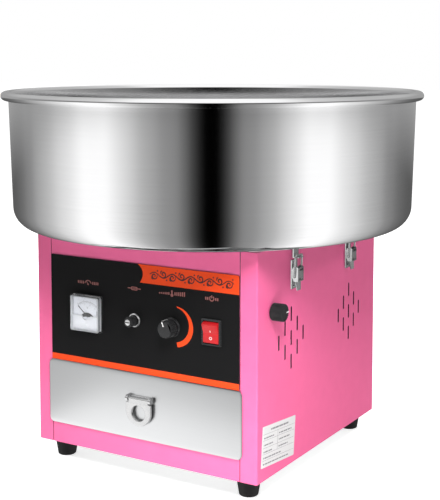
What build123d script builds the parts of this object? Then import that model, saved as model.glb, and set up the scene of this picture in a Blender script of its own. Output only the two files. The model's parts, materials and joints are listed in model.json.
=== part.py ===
from build123d import *
import os
from math import cos, radians, sin

# Tabletop cotton candy machine: a folded steel cabinet with a drawer and a control panel, a motor
# with a spinning heated head, and a stainless bowl clamped on top by four toggle latches.
# Frame: +X to the operator's right, +Y to the back, +Z up. The origin is on the table, under the
# middle of the bowl. Lengths are millimetres and angles are degrees.

# Cabinet
CAB_W = 305.0
CAB_D = 315.0
CAB_H = 257.0
FOOT_H = 22.0
SHEET = 1.2
BEND_R = 2.0
FRONT_FLANGE = 21.0
REAR_FLANGE = 15.0
SEAM = 0.3
PANEL_SEAM = 0.9
SEAT = 0.1
HALF_W = CAB_W / 2
HALF_D = CAB_D / 2
CAB_TOP = FOOT_H + CAB_H

# Clearances
MOVING_GAP = 0.4
SHAFT_GAP = 0.05

# Diamond vents, two groups on each side, with 1, 2, 3, 2 and 1 slots in their columns
VENT_Y = 78.0
VENT_Z = FOOT_H + 147.6
VENT_COLUMN_PITCH = 15.0
VENT_ROW_PITCH = 27.5
SLOT_LENGTH = 17.5
SLOT_WIDTH = 3.4

# Feet and their screws
FOOT_INSET = 23.5
FOOT_TOP_R = 14.5
FOOT_LOW_R = 11.0
FOOT_POCKET_R = 6.0
FOOT_POCKET_DEPTH = 12.0
SCREW_R = 2.5
SCREW_HEAD_R = 4.5
SCREW_HEAD_H = 2.6

# Drawer
FRONT_PLATE_W = 268.6
FRONT_PLATE_H = 77.5
FRONT_PLATE_T = 2.2
FRONT_PLATE_Z = FOOT_H + 25.0
FRONT_PLATE_R = 5.5
TRAY_W = 245.0
TRAY_D = 270.0
TRAY_H = 60.0
TRAY_Z = 52.3
TRAY_WALL = 1.0
RUNNER_T = 1.5
RUNNER_GAP = 0.7
RUNNER_LENGTH = 240.0
RUNNER_LEDGE = 10.0
RUNNER_FOOT = 13.0

# Folding drawer pull
PULL_W = 35.0
PULL_TOP = FOOT_H + 76.8
PULL_LOW = FOOT_H + 42.4
PULL_T = 3.0
PULL_HOLE_R = 9.25
PULL_HOLE_Z = FOOT_H + 57.4
PULL_PIN_R = 1.2
PULL_EAR_R = 3.3
PULL_EAR_W = 3.3
PULL_BACK_T = 1.0
PULL_REACH = 3.4

# Control panel and what it carries
PANEL_T = 1.0
PANEL_W = 261.0
PANEL_Z = FOOT_H + 103.0
PANEL_H = 127.5
PANEL_R = 1.5

METER_X = -75.3
METER_Z = FOOT_H + 165.0
METER_SIZE = 43.0
METER_BODY_R = 18.0
METER_BODY_DEPTH = 26.0
METER_FLANGE_T = 1.6
METER_PLINTH = 40.6
METER_PLINTH_T = 0.8
METER_DIAL = 39.0
METER_DIAL_T = 0.4
METER_COVER = 9.4
METER_LENS_WALL = 1.0
METER_LENS_BEVEL = 2.2
METER_LENS_R = 2.5
NEEDLE_DROP = 1.3
NEEDLE_LENGTH = 15.0
NEEDLE_W = 0.7
NEEDLE_T = 0.5
NEEDLE_HUB_R = 1.6
NEEDLE_REST = 140.0

FUSE_X = -8.8
FUSE_Z = FOOT_H + 164.3
FUSE_RING_R = 8.0
FUSE_BARREL_R = 6.0
FUSE_BORE_R = 4.8
FUSE_DEPTH = 30.0
FUSE_CAP_R = 6.0
FUSE_STEM_R = 4.4
FUSE_CAP_REACH = 12.5
FUSE_TIP_R = 3.5
FUSE_LINK_R = 2.6

TEMP_X = 43.0
TEMP_Z = FOOT_H + 162.8
SPEED_Y = -122.8
SPEED_Z = FOOT_H + 186.7
POT_R = 12.0
POT_DEPTH = 10.0
POT_BUSH_R = 4.5
POT_NUT_R = 7.0
POT_NUT_T = 2.0
SPINDLE_R = 3.0
KNOB_R = 9.9
KNOB_SKIRT_R = 11.2
KNOB_SKIRT_T = 2.8
KNOB_REACH = 15.5
KNOB_FLUTES = 24
KNOB_FLUTE_R = 0.7
INDEX_W = 1.2

SWITCH_X = 95.5
SWITCH_Z = FOOT_H + 163.5
BEZEL_W = 25.0
BEZEL_H = 30.0
BEZEL_T = 2.5
SWITCH_BODY_W = 22.6
SWITCH_BODY_H = 28.0
SWITCH_DEPTH = 27.0
ROCKER_W = 19.8
ROCKER_R = 12.6
ROCKER_TILT = 10.0
ROCKER_WAIST = 5.0
ROCKER_BACK = 3.0

# Motor, hung under the top plate on rubber mounts
MOTOR_R = 48.0
MOTOR_LOW = 168.0
MOTOR_TOP = 265.0
STATOR_BORE_R = 26.0
ROTOR_R = 25.0
CORE_LOW = 192.0
CORE_TOP = 238.0
SHAFT_R = 4.0
SHAFT_LOW = 150.0
SHAFT_TOP = 330.0
BEARING_R = 11.0
BEARING_T = 7.0
MOTOR_PLATE_HALF = 72.0
MOTOR_PLATE_T = 3.0
MOUNT_XY = 58.0
MOUNT_R = 8.0
THROAT_R = 60.0
FAN_R = 42.0
FAN_HUB_R = 10.0
FAN_BLADES = 7
FAN_H = 12.0

# Slip rings and brushes
HUB_R = 22.0
HUB_LOW = 284.0
HUB_TOP = 312.0
RING_R = 24.5
RING_H = 6.0
RING_ZS = (288.0, 300.0)
BRUSH_W = 5.0
BRUSH_H = 5.0
BRUSH_LENGTH = 12.0
HOLDER_X = (27.0, 50.0)
HOLDER_HALF_Y = 8.0

# Spinning head
HEAD_R = 58.0
HEAD_LOW = 317.0
HEAD_FLOOR = 325.0
HEAD_RIM = 388.0
HEAD_LID = 391.0
HEAD_TOP = 402.0
HEAD_BOSS_R = 14.0
BAND_T = 1.5
BAND_SLOTS = 36
BAND_SLOT_W = 2.0
HEATER_R = 49.0
HEATER_WIRE_R = 2.0
HEATER_TURNS = 4
CUP_R = 30.0
CUP_MOUTH_R = 34.0
CUP_LOW = 350.0
HEAD_SCREW_PCD_R = 38.0

# Bowl
RIM_R = 260.0
BOWL_Z = CAB_TOP + 3.0
BOWL_T = 1.2
BOWL_LOW_R = 246.0
BOWL_CORNER_R = 24.0
BEAD_R = 5.2
BEAD_Z = 441.3
COLLAR_R = 76.0
COLLAR_TOP = 294.0
COLLAR_BEND_R = 3.0
SEAL_R = 144.0
SEAL_WIDTH = 16.0

# Toggle latches
LATCH_Y = 73.0
PIVOT_OUT = 6.0
PIVOT_Z = FOOT_H + 226.0
LATCH_PIN_R = 1.2
LATCH_PLATE = (226.0, 259.0)
LATCH_PLATE_T = 1.2
LATCH_PLATE_HALF = 7.0
EAR_R = 2.0
EAR_Y = (4.6, 5.6)
LEVER_Y = (6.0, 7.0)
LEVER_ROUND_R = 4.2
LEVER_FACE = 3.2
LEVER_SHEET = 1.0
LEVER_FOOT = -13.0
LEVER_FACE_TOP = -1.0
LEVER_SIDE = ((-4.2, 0), (-4.2, -9.0), (-2.0, LEVER_FOOT), (LEVER_FACE, LEVER_FOOT), (LEVER_FACE, 0))
LEVER_WINDOW = (4.5, 2.2, -10.6)
TIP_BACK = (-1.2, 0.2)
TIP_END = -23.5
TIP_HALVES = (6.8, 4.3)
CRANK = 8.0
CRANK_ANGLE = 8.0
WIRE_R = 1.1
WIRE_Y = 8.5
WIRE_BENDS = (1.4, 2.4, 2.4, 1.4)
WIRE_TOP_OUT = 6.4
CATCH_HALF = 6.0
CATCH_T = 1.2
CATCH_OUT = 1.8
CATCH_LIP = 9.6
CATCH_Z = FOOT_H + 240.0
CATCH_FOOT = 19.5
RIVET_R = 1.6
RIVET_HEAD_R = 2.6
RIVET_HEAD_H = 0.9
RIVET_ZS = (230.0, 255.5)

# Cord gland, label and screws on the outside
GLAND_X = -100.0
GLAND_Z = 60.0
GLAND_BORE_R = 4.0
GLAND_R = 8.0
GLAND_FLANGE_R = 11.0
GLAND_OUT = 16.0
GLAND_IN = 8.0
LABEL_W = 78.0
LABEL_H = 46.0
LABEL_T = 0.3
LABEL_Y = -107.8
LABEL_Z = FOOT_H + 35.0
LABEL_TURN = -5.5
CASE_SCREW_ZS = (40.0, 150.0, 262.0)

# Control board on the left side, and the wiring
BOARD_X = 6.5 + SHEET - HALF_W
BOARD_T = 1.6
BOARD_Y = (-40.0, 40.0)
BOARD_Z = (140.0, 200.0)
BOARD_INSET = 6.0
LEAD_R = 1.3

BASE = (Align.CENTER, Align.CENTER, Align.MIN)
# Working planes: u runs along X or Y, v is height, and w points out of the cabinet.
FRONT = Plane(origin=(0, -HALF_D, 0), x_dir=(1, 0, 0), z_dir=(0, -1, 0))
RIGHT = Plane(origin=(HALF_W, 0, 0), x_dir=(0, 1, 0), z_dir=(1, 0, 0))
REAR = Plane(origin=(0, HALF_D, 0), x_dir=(-1, 0, 0), z_dir=(0, 1, 0))


def block(u, v, w):
    """Box between (low, high) limits."""
    limits = (u, v, w)
    size = [high - low for low, high in limits]
    middle = [(high + low) / 2 for low, high in limits]
    return Pos(*middle) * Box(*size)


def post(u, v, w, radius):
    """Cylinder along w between (low, high) limits."""
    return Pos(u, v, w[0]) * Cylinder(radius, w[1] - w[0], align=BASE)


def pipe(u, v, w, outer, inner):
    """Hollow cylinder along w."""
    return post(u, v, w, outer) - post(u, v, w, inner)


def turned(*points):
    """Solid of revolution about Z through (radius, height) points."""
    return revolve(Plane.XZ * make_face(Polyline(*points, close=True)), Axis.Z)


def plate(width, height, radius, thickness):
    """Rounded rectangle, extruded outwards."""
    return extrude(RectangleRounded(width, height, radius), thickness)


def corners(u, v):
    """The four points at plus and minus u and v."""
    return [(x, y) for x in (-u, u) for y in (-v, v)]


def mirrored(part):
    """The left-hand copy of a right-hand piece."""
    return mirror(part, Plane.YZ)


def save(name, *pieces):
    """Write one node, which may hold several separate solids."""
    solids = [solid for piece in pieces for solid in piece.solids()]
    export_step(Compound(solids), f"parts/{name}.step")


def vent_centres():
    """Height and depth of each vent slot."""
    for group in (-VENT_Y, VENT_Y):
        for column in range(-2, 3):
            rows = 3 - abs(column)
            for row in range(rows):
                rise = (row - (rows - 1) / 2) * VENT_ROW_PITCH
                yield group + column * VENT_COLUMN_PITCH, VENT_Z + rise


def side_panel():
    """Right side: folded sheet with a front and a rear flange."""
    heights = (FOOT_H, CAB_TOP)
    panel = block((HALF_W - SHEET, HALF_W), (-HALF_D, HALF_D), heights)
    panel += block((HALF_W - FRONT_FLANGE, HALF_W), (-HALF_D, SHEET - HALF_D), heights)
    panel += block((HALF_W - REAR_FLANGE, HALF_W), (HALF_D - SHEET, HALF_D), heights)
    uprights = panel.edges().filter_by(Axis.Z)
    bends = [e for e in uprights if e.center().X > HALF_W - SEAT and abs(e.center().Y) > HALF_D - SEAT]
    panel = fillet(bends, BEND_R)
    slot = extrude(SlotOverall(SLOT_LENGTH, SLOT_WIDTH, rotation=90), 2 * SHEET)
    cuts = [Pos(y, z, -1.5 * SHEET) * slot for y, z in vent_centres()]
    for y in (-LATCH_Y, LATCH_Y):
        cuts += [post(y, z, (-2 * SHEET, SHEET), RIVET_R) for z in RIVET_ZS]
    panel -= [RIGHT * cut for cut in cuts]
    for z in CASE_SCREW_ZS:
        panel -= REAR * post(REAR_FLANGE / 2 - HALF_W, z, (-2 * SHEET, SHEET), SCREW_R)
    return panel


def panel_holes():
    """Cut-outs for the meter, fuse, temperature control and switch."""
    depth = (-2 * SHEET, 2 * SHEET)
    half_w = SWITCH_BODY_W / 2 + SEAT
    half_h = SWITCH_BODY_H / 2 + SEAT
    return [
        FRONT * post(METER_X, METER_Z, depth, METER_BODY_R + SEAT),
        FRONT * post(FUSE_X, FUSE_Z, depth, FUSE_BARREL_R + SEAT),
        FRONT * post(TEMP_X, TEMP_Z, depth, POT_BUSH_R + SEAT),
        FRONT * block((SWITCH_X - half_w, SWITCH_X + half_w), (SWITCH_Z - half_h, SWITCH_Z + half_h), depth),
    ]


def front_panel():
    """Sheet between the side flanges, open for the drawer."""
    half = HALF_W - FRONT_FLANGE - PANEL_SEAM
    sheet = FRONT * block((-half, half), (FOOT_H, CAB_TOP), (-SHEET, 0))
    opening = TRAY_W / 2 + 2 * RUNNER_GAP
    heights = (TRAY_Z - 2 * RUNNER_T, TRAY_Z + TRAY_H + 2 * RUNNER_T)
    mouth = FRONT * block((-opening, opening), heights, (-2 * SHEET, SHEET))
    return sheet - mouth - panel_holes()


def control_panel():
    """Flat plate on the front panel."""
    face = FRONT * Pos(0, PANEL_Z + PANEL_H / 2, 0) * plate(PANEL_W, PANEL_H, PANEL_R, PANEL_T)
    return face - panel_holes()


def rear_panel():
    """Sheet over the rear flanges' gap, with the cord gland's hole."""
    half = HALF_W - REAR_FLANGE - PANEL_SEAM
    sheet = REAR * block((-half, half), (FOOT_H, CAB_TOP), (-SHEET, 0))
    return sheet - REAR * post(-GLAND_X, GLAND_Z, (-2 * SHEET, SHEET), GLAND_R + SEAT)


def base_plate():
    """Floor of the cabinet."""
    floor = plate(2 * (HALF_W - SHEET - SEAT), 2 * (HALF_D - SHEET - SEAT), BEND_R, SHEET)
    floor -= [post(x, y, (-SHEET, 2 * SHEET), SCREW_R + SEAT) for x, y in foot_centres()]
    return Pos(0, 0, FOOT_H) * floor


def top_plate():
    """Deck under the bowl, open round the head's hub."""
    deck = plate(2 * (HALF_W - SHEET - SEAT), 2 * (HALF_D - SHEET - SEAT), BEND_R, SHEET)
    through = (-SHEET, 2 * SHEET)
    deck -= post(0, 0, through, THROAT_R)
    deck -= [post(x, y, through, SCREW_R + SEAT) for x, y in corners(MOUNT_XY, MOUNT_XY)]
    return Pos(0, 0, CAB_TOP - SHEET) * deck


def foot_centres():
    """Where the feet stand."""
    return corners(HALF_W - FOOT_INSET, HALF_D - FOOT_INSET)


def rubber_feet():
    """Tapered feet with a pocket for the screw head."""
    foot = turned((SCREW_R + SEAT, FOOT_POCKET_DEPTH), (FOOT_POCKET_R, FOOT_POCKET_DEPTH),
                  (FOOT_POCKET_R, 0), (FOOT_LOW_R - 1, 0), (FOOT_LOW_R, 1), (FOOT_TOP_R, FOOT_H),
                  (SCREW_R + SEAT, FOOT_H))
    return [Pos(x, y, 0) * foot for x, y in foot_centres()]


def screw(length):
    """Pan-head screw, head down, its shank starting at the origin."""
    head = post(0, 0, (-SCREW_HEAD_H, 0), SCREW_HEAD_R)
    head = fillet(head.edges().group_by(Axis.Z)[0], SCREW_HEAD_H / 2)
    cross = block((-SCREW_HEAD_R / 2, SCREW_HEAD_R / 2), (-0.4, 0.4), (-SCREW_HEAD_H, -SCREW_HEAD_H / 2))
    head -= [cross, Rot(0, 0, 90) * cross]
    return head + post(0, 0, (0, length), SCREW_R)


def nut():
    """Hexagon nut, its lower face at the origin."""
    return extrude(RegularPolygon(SCREW_HEAD_R, 6), SCREW_R) - post(0, 0, (-1, 2 * SCREW_R), SCREW_R)


def foot_screws():
    """A screw up through each foot and a nut on the base plate."""
    rise = FOOT_H + SHEET - FOOT_POCKET_DEPTH
    pieces = []
    for x, y in foot_centres():
        pieces.append(Pos(x, y, FOOT_POCKET_DEPTH) * screw(rise + 2 * SCREW_R))
        pieces.append(Pos(x, y, FOOT_POCKET_DEPTH + rise) * nut())
    return pieces


def case_screws():
    """Screws through the side panels' rear flanges."""
    pieces = []
    for z in CASE_SCREW_ZS:
        for x in (REAR_FLANGE / 2 - HALF_W, HALF_W - REAR_FLANGE / 2):
            pieces.append(REAR * Pos(x, z, 0) * Rot(180, 0, 0) * screw(3 * SHEET))
    return pieces


def drawer_runners():
    """Folded rails on the base plate that carry and guide the tray."""
    inner = TRAY_W / 2 + RUNNER_GAP
    along = (-RUNNER_LENGTH / 2, RUNNER_LENGTH / 2)
    floor = FOOT_H + SHEET
    ledge_top = TRAY_Z - SEAM
    rail = block((inner, inner + RUNNER_T), along, (floor, ledge_top + RUNNER_LEDGE))
    rail += block((inner - RUNNER_LEDGE, inner), along, (ledge_top - RUNNER_T, ledge_top))
    rail += block((inner + RUNNER_T, inner + RUNNER_FOOT), along, (floor, floor + RUNNER_T))
    return [rail, mirrored(rail)]


def drawer_tray():
    """Open sheet tray behind the drawer front."""
    low_y = -HALF_D - SEAM
    half = TRAY_W / 2
    tray = block((-half, half), (low_y, low_y + TRAY_D), (TRAY_Z, TRAY_Z + TRAY_H))
    hollow = block((TRAY_WALL - half, half - TRAY_WALL), (low_y + TRAY_WALL, low_y + TRAY_D - TRAY_WALL),
                   (TRAY_Z + TRAY_WALL, TRAY_Z + TRAY_H + TRAY_WALL))
    return tray - hollow


def drawer_front():
    """Stainless front, proud of the cabinet, with rounded corners and eased edges."""
    face = plate(FRONT_PLATE_W, FRONT_PLATE_H, FRONT_PLATE_R, FRONT_PLATE_T)
    face = fillet(face.edges().group_by(Axis.Z)[-1], FRONT_PLATE_T * 0.4)
    return FRONT * Pos(0, FRONT_PLATE_Z + FRONT_PLATE_H / 2, SEAM) * face


def pull_axis():
    """Height and reach of the pull's hinge pin."""
    return PULL_TOP - PULL_EAR_R, SEAM + FRONT_PLATE_T + PULL_REACH


def pull_bracket():
    """Back plate with two ears and the hinge pin between them."""
    height, reach = pull_axis()
    back = SEAM + FRONT_PLATE_T
    half = PULL_W / 2
    lows = height - PULL_EAR_R
    bracket = FRONT * block((-half, half), (lows, PULL_TOP), (back, back + PULL_BACK_T))
    side = Plane(origin=(0, -HALF_D - reach, height), x_dir=(0, -1, 0), z_dir=(1, 0, 0))
    ear = extrude(Circle(PULL_EAR_R), PULL_EAR_W)
    ear += block((PULL_BACK_T / 2 - PULL_REACH, 0), (-PULL_EAR_R, PULL_EAR_R), (0, PULL_EAR_W))
    bracket += side * Pos(0, 0, half - PULL_EAR_W) * ear
    bracket += side * Pos(0, 0, -half) * ear
    return bracket + side * post(0, 0, (-half, half), PULL_PIN_R)


def pull_ring():
    """D-shaped ring that hangs from the pin."""
    height, reach = pull_axis()
    half = PULL_W / 2
    tab = half - PULL_EAR_W - MOVING_GAP
    shoulder = height - PULL_EAR_R - 2.5 * MOVING_GAP
    outline = Pos(0, PULL_LOW + half) * Circle(half)
    outline -= Pos(0, shoulder + half) * Rectangle(PULL_W, PULL_W)
    outline += Pos(0, (PULL_LOW + half + shoulder) / 2) * Rectangle(PULL_W, shoulder - PULL_LOW - half)
    outline += Pos(0, (shoulder + height) / 2) * Rectangle(2 * tab, height - shoulder)
    outline -= Pos(0, PULL_HOLE_Z) * Circle(PULL_HOLE_R)
    ring = FRONT * Pos(0, 0, reach - PULL_T / 2) * extrude(outline, PULL_T)
    faces = ring.faces().sort_by(Axis.Y)
    ring = fillet([*faces[0].edges(), *faces[-1].edges()], PULL_T / 5)
    side = Plane(origin=(0, -HALF_D - reach, height), x_dir=(0, -1, 0), z_dir=(1, 0, 0))
    ring += side * post(0, 0, (-tab, tab), PULL_PIN_R + PULL_T / 4)
    return ring - side * post(0, 0, (-half, half), PULL_PIN_R + SHAFT_GAP)


def meter_levels():
    """Heights above the cabinet's front of the meter's flange, plinth, dial and lens."""
    flange = PANEL_T + METER_FLANGE_T
    plinth = flange + METER_PLINTH_T
    return flange, plinth, plinth + METER_DIAL_T, PANEL_T + METER_COVER


def meter_case():
    """Round body behind the panel and square flange in front of it."""
    flange, plinth, _, _ = meter_levels()
    case = post(0, 0, (-METER_BODY_DEPTH, PANEL_T), METER_BODY_R)
    case += Pos(0, 0, PANEL_T) * plate(METER_SIZE, METER_SIZE, 1.5, flange - PANEL_T)
    case += Pos(0, 0, flange) * plate(METER_PLINTH, METER_PLINTH, METER_LENS_R, plinth - flange)
    return FRONT * Pos(METER_X, METER_Z, 0) * case


def meter_dial():
    """Scale plate, and the raised mask over the movement below the needle's pivot."""
    _, plinth, top, _ = meter_levels()
    half = METER_DIAL / 2
    dial = block((-half, half), (-half, half), (plinth, top))
    mask = block((-half, half), (-half, -NEEDLE_DROP - NEEDLE_HUB_R), (top, top + 2.4))
    mask -= post(0, -NEEDLE_DROP, (plinth, top + 5), 4 * NEEDLE_HUB_R)
    return [FRONT * Pos(METER_X, METER_Z, 0) * piece for piece in (dial, mask)]


def meter_needle():
    """Pointer at rest on the zero end of its scale."""
    top = meter_levels()[2] + MOVING_GAP
    hub = post(0, 0, (top, top + 2), NEEDLE_HUB_R)
    arm = block((0, NEEDLE_LENGTH), (-NEEDLE_W / 2, NEEDLE_W / 2), (top + 1, top + 1 + NEEDLE_T))
    tail = block((-2.5 * NEEDLE_HUB_R, 0), (-NEEDLE_W, NEEDLE_W), (top + 1, top + 1 + NEEDLE_T))
    return FRONT * Pos(METER_X, METER_Z - NEEDLE_DROP, 0) * Rot(0, 0, NEEDLE_REST) * (hub + arm + tail)


def meter_lens():
    """Clear box over the dial with bevelled front edges."""
    flange, _, _, face = meter_levels()
    inner = METER_SIZE - 2 * METER_LENS_WALL
    lens = plate(METER_SIZE, METER_SIZE, METER_LENS_R, face - flange)
    lens = chamfer(lens.edges().group_by(Axis.Z)[-1], METER_LENS_BEVEL)
    hollow = plate(inner, inner, METER_LENS_R - METER_LENS_WALL / 2, face - flange - METER_LENS_WALL)
    hollow = chamfer(hollow.edges().group_by(Axis.Z)[-1], METER_LENS_BEVEL - METER_LENS_WALL)
    return FRONT * Pos(METER_X, METER_Z, flange) * (lens - hollow)


def fuse_holder():
    """Threaded barrel with a front ring and a nut behind the panel."""
    front = PANEL_T + 2.0
    holder = post(0, 0, (-FUSE_DEPTH, front), FUSE_BARREL_R)
    holder += post(0, 0, (PANEL_T, front), FUSE_RING_R)
    holder += Pos(0, 0, -SHEET - 3) * extrude(RegularPolygon(FUSE_RING_R, 6), 3)
    holder -= post(0, 0, (3 - FUSE_DEPTH, front), FUSE_BORE_R)
    return FRONT * Pos(FUSE_X, FUSE_Z, 0) * holder


def fuse_cap():
    """Ribbed cap with a stem in the barrel and a slotted tip."""
    low = PANEL_T + 2.0 + SEAM
    top = low + FUSE_CAP_REACH - 2
    cap = post(0, 0, (low, top), FUSE_CAP_R)
    cap = fillet(cap.edges().group_by(Axis.Z)[-1], 1.2)
    ribs = [Rot(0, 0, 30 * i) * post(FUSE_CAP_R, 0, (low, top), 0.5) for i in range(12)]
    cap -= ribs
    cap += post(0, 0, (-6, low), FUSE_STEM_R)
    cap += post(0, 0, (top, top + 1.2), FUSE_TIP_R)
    cap -= block((-FUSE_TIP_R, FUSE_TIP_R), (-0.5, 0.5), (top + 0.3, top + 2))
    return FRONT * Pos(FUSE_X, FUSE_Z, 0) * cap


def fuse_link():
    """Glass cartridge fuse with two metal ends."""
    low = 4.0 - FUSE_DEPTH
    high = -6 - SEAM
    link = post(0, 0, (low + 1, high - 1), FUSE_LINK_R - 0.3)
    link += post(0, 0, (low, low + 5), FUSE_LINK_R)
    link += post(0, 0, (high - 5, high), FUSE_LINK_R)
    return FRONT * Pos(FUSE_X, FUSE_Z, 0) * link


def potentiometer(face):
    """Body behind the sheet, bush and nut through it; face is the outer surface."""
    can = (-SHEET - POT_DEPTH, -SHEET)
    nut_top = face + POT_NUT_T
    pot = post(0, 0, can, POT_R)
    pot += post(0, 0, (can[0], nut_top), POT_BUSH_R)
    pot += Pos(0, 0, face) * extrude(RegularPolygon(POT_NUT_R, 6), POT_NUT_T)
    pot += block((-POT_R * 0.6, POT_R * 0.6), (-POT_R - 5, 0), (can[0] + 3, can[0] + 5))
    return pot - post(0, 0, (can[0] + 2, nut_top + 1), SPINDLE_R + SHAFT_GAP)


def knob(face, skirted):
    """Fluted knob with a raised index line, and its spindle; the index points along +u."""
    low = face + MOVING_GAP
    top = face + KNOB_REACH
    grip_low = low + KNOB_SKIRT_T if skirted else low
    grip = post(0, 0, (grip_low, top), KNOB_R)
    grip = chamfer(grip.edges().group_by(Axis.Z)[-1], 1.4)
    angles = [360 / KNOB_FLUTES * (i + 0.5) for i in range(KNOB_FLUTES)]
    flute = post(KNOB_R + 0.2, 0, (grip_low + 0.6, top), KNOB_FLUTE_R)
    grip -= [Rot(0, 0, angle) * flute for angle in angles]
    if skirted:
        skirt = post(0, 0, (low, grip_low), KNOB_SKIRT_R)
        grip += fillet(skirt.edges().group_by(Axis.Z)[-1], 1.0)
    grip += block((KNOB_R * 0.3, KNOB_R - 0.2), (-INDEX_W / 2, INDEX_W / 2), (top - 1, top + 0.2))
    grip -= post(0, 0, (low - 1, face + POT_NUT_T + 1), POT_NUT_R + MOVING_GAP)
    grip -= post(0, 0, (low, top - 3), SPINDLE_R)
    spindle = post(0, 0, (2.5 - SHEET - POT_DEPTH, top - 3), SPINDLE_R)
    return [grip, spindle]


def temperature_place():
    """Where the temperature control sits on the front."""
    return FRONT * Pos(TEMP_X, TEMP_Z, 0)


def speed_place():
    """Where the speed control sits on the right side."""
    return RIGHT * Pos(SPEED_Y, SPEED_Z, 0)


def switch_pivot():
    """Distance of the rocker's pivot from the cabinet's front, positive outwards."""
    return PANEL_T + BEZEL_T + SEAM - ROCKER_WAIST


def switch_housing():
    """Bezel, body through the panel with a well for the rocker, and three terminals."""
    well_w = ROCKER_W / 2 + SEAM
    well_h = ROCKER_R + SEAM
    body = Pos(0, 0, PANEL_T) * plate(BEZEL_W, BEZEL_H, 1.5, BEZEL_T)
    body = chamfer(body.edges().group_by(Axis.Z)[-1], 0.8)
    body += block((-SWITCH_BODY_W / 2, SWITCH_BODY_W / 2), (-SWITCH_BODY_H / 2, SWITCH_BODY_H / 2),
                  (-SWITCH_DEPTH, PANEL_T))
    well_low = switch_pivot() - ROCKER_R * 0.55
    body -= block((-well_w, well_w), (-well_h, well_h), (well_low, PANEL_T + 2 * BEZEL_T))
    for v in (-8, 0, 8):
        body += block((-3.2, 3.2), (v - 0.4, v + 0.4), (-SWITCH_DEPTH - 8, -SWITCH_DEPTH))
    return FRONT * Pos(SWITCH_X, SWITCH_Z, 0) * body


def rocker_button():
    """Rocker with two shallow facets, at rest with its top half out."""
    rise = ROCKER_WAIST + ROCKER_R * sin(radians(ROCKER_TILT)) / cos(radians(ROCKER_TILT))
    facets = Polyline((-ROCKER_R, rise), (0, ROCKER_WAIST), (ROCKER_R, rise), (ROCKER_R, -ROCKER_BACK),
                      (-ROCKER_R, -ROCKER_BACK), close=True)
    profile = Circle(ROCKER_R) & make_face(facets)
    rocker = extrude(profile, ROCKER_W / 2, both=True)
    rocker = fillet(rocker.edges().filter_by(Axis.Z, reverse=True).group_by(Axis.Y)[-1], 0.3)
    pivot = Plane(origin=(SWITCH_X, -HALF_D - switch_pivot(), SWITCH_Z), x_dir=(0, 0, 1), z_dir=(1, 0, 0))
    return pivot * Rot(0, 0, ROCKER_TILT) * rocker


def motor_housing():
    """Motor can with stator core and bearing seats."""
    can = post(0, 0, (MOTOR_LOW, MOTOR_TOP), MOTOR_R)
    can = fillet(can.edges().group_by(Axis.Z)[0], 4)
    can -= post(0, 0, (MOTOR_LOW - 1, MOTOR_TOP + 1), SHAFT_R + 2)
    can -= post(0, 0, (CORE_LOW - 2, CORE_TOP + 2), STATOR_BORE_R)
    can -= pipe(0, 0, (MOTOR_LOW + 12, CORE_LOW), MOTOR_R - 3, BEARING_R + 3)
    can -= pipe(0, 0, (CORE_TOP, MOTOR_TOP - 12), MOTOR_R - 3, BEARING_R + 3)
    can -= post(0, 0, (MOTOR_LOW + 2, MOTOR_LOW + 2 + BEARING_T), BEARING_R)
    can -= post(0, 0, (MOTOR_TOP - 2 - BEARING_T, MOTOR_TOP - 2), BEARING_R)
    vent = block((MOTOR_R - 8, MOTOR_R + 1), (-3, 3), (MOTOR_LOW + 13, CORE_LOW - 2))
    return can - [Rot(0, 0, 30 * i) * vent for i in range(12)]


def motor_bearings():
    """Two bearings, shown as closed rings."""
    lows = (MOTOR_LOW + 2, MOTOR_TOP - 2 - BEARING_T)
    return [pipe(0, 0, (low, low + BEARING_T), BEARING_R, SHAFT_R + SHAFT_GAP) for low in lows]


def motor_shaft():
    """Shaft with the rotor core on it."""
    return post(0, 0, (SHAFT_LOW, SHAFT_TOP), SHAFT_R) + post(0, 0, (CORE_LOW, CORE_TOP), ROTOR_R)


def motor_fan():
    """Cooling fan under the motor."""
    levels = (SHAFT_LOW + 2, SHAFT_LOW + 2 + FAN_H)
    fan = post(0, 0, levels, FAN_HUB_R) + post(0, 0, (levels[1] - 1.5, levels[1]), FAN_R * 0.6)
    blade = block((FAN_HUB_R - 1, FAN_R), (-1, 1), levels)
    fan += [Rot(0, 0, 360 / FAN_BLADES * i) * blade for i in range(FAN_BLADES)]
    return fan - post(0, 0, (levels[0] - 1, levels[1] + 1), SHAFT_R)


def motor_plate():
    """Plate that the motor hangs from."""
    half = MOTOR_PLATE_HALF
    sheet = Pos(0, 0, MOTOR_TOP) * plate(2 * half, 2 * half, 8, MOTOR_PLATE_T)
    sheet -= post(0, 0, (MOTOR_TOP - 1, MOTOR_TOP + 2 * MOTOR_PLATE_T), BEARING_R)
    holes = [post(x, y, (MOTOR_TOP - 1, MOTOR_TOP + 2 * MOTOR_PLATE_T), SCREW_R + SEAT)
             for x, y in corners(MOUNT_XY, MOUNT_XY)]
    return sheet - holes


def motor_mounts():
    """Rubber bushes between the motor plate and the deck."""
    levels = (MOTOR_TOP + MOTOR_PLATE_T, CAB_TOP - SHEET)
    bush = pipe(0, 0, levels, MOUNT_R, SCREW_R + SEAT)
    middle = sum(levels) / 2
    waist = turned((MOUNT_R - 1.5, middle), (MOUNT_R + 1, levels[0] + 2), (MOUNT_R + 1, levels[1] - 2))
    return [Pos(x, y, 0) * (bush - waist) for x, y in corners(MOUNT_XY, MOUNT_XY)]


def motor_bolts():
    """A bolt up through each mount and a nut on it, just above the deck."""
    shank = CAB_TOP - MOTOR_TOP
    pieces = []
    for x, y in corners(MOUNT_XY, MOUNT_XY):
        pieces.append(Pos(x, y, MOTOR_TOP) * screw(shank + SCREW_R))
        pieces.append(Pos(x, y, CAB_TOP) * nut())
    return pieces


def slip_ring_hub():
    """Insulating hub on the shaft."""
    hub = post(0, 0, (HUB_LOW, HUB_TOP), HUB_R)
    return hub - post(0, 0, (HUB_LOW - 1, HUB_TOP + 1), SHAFT_R)


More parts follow.
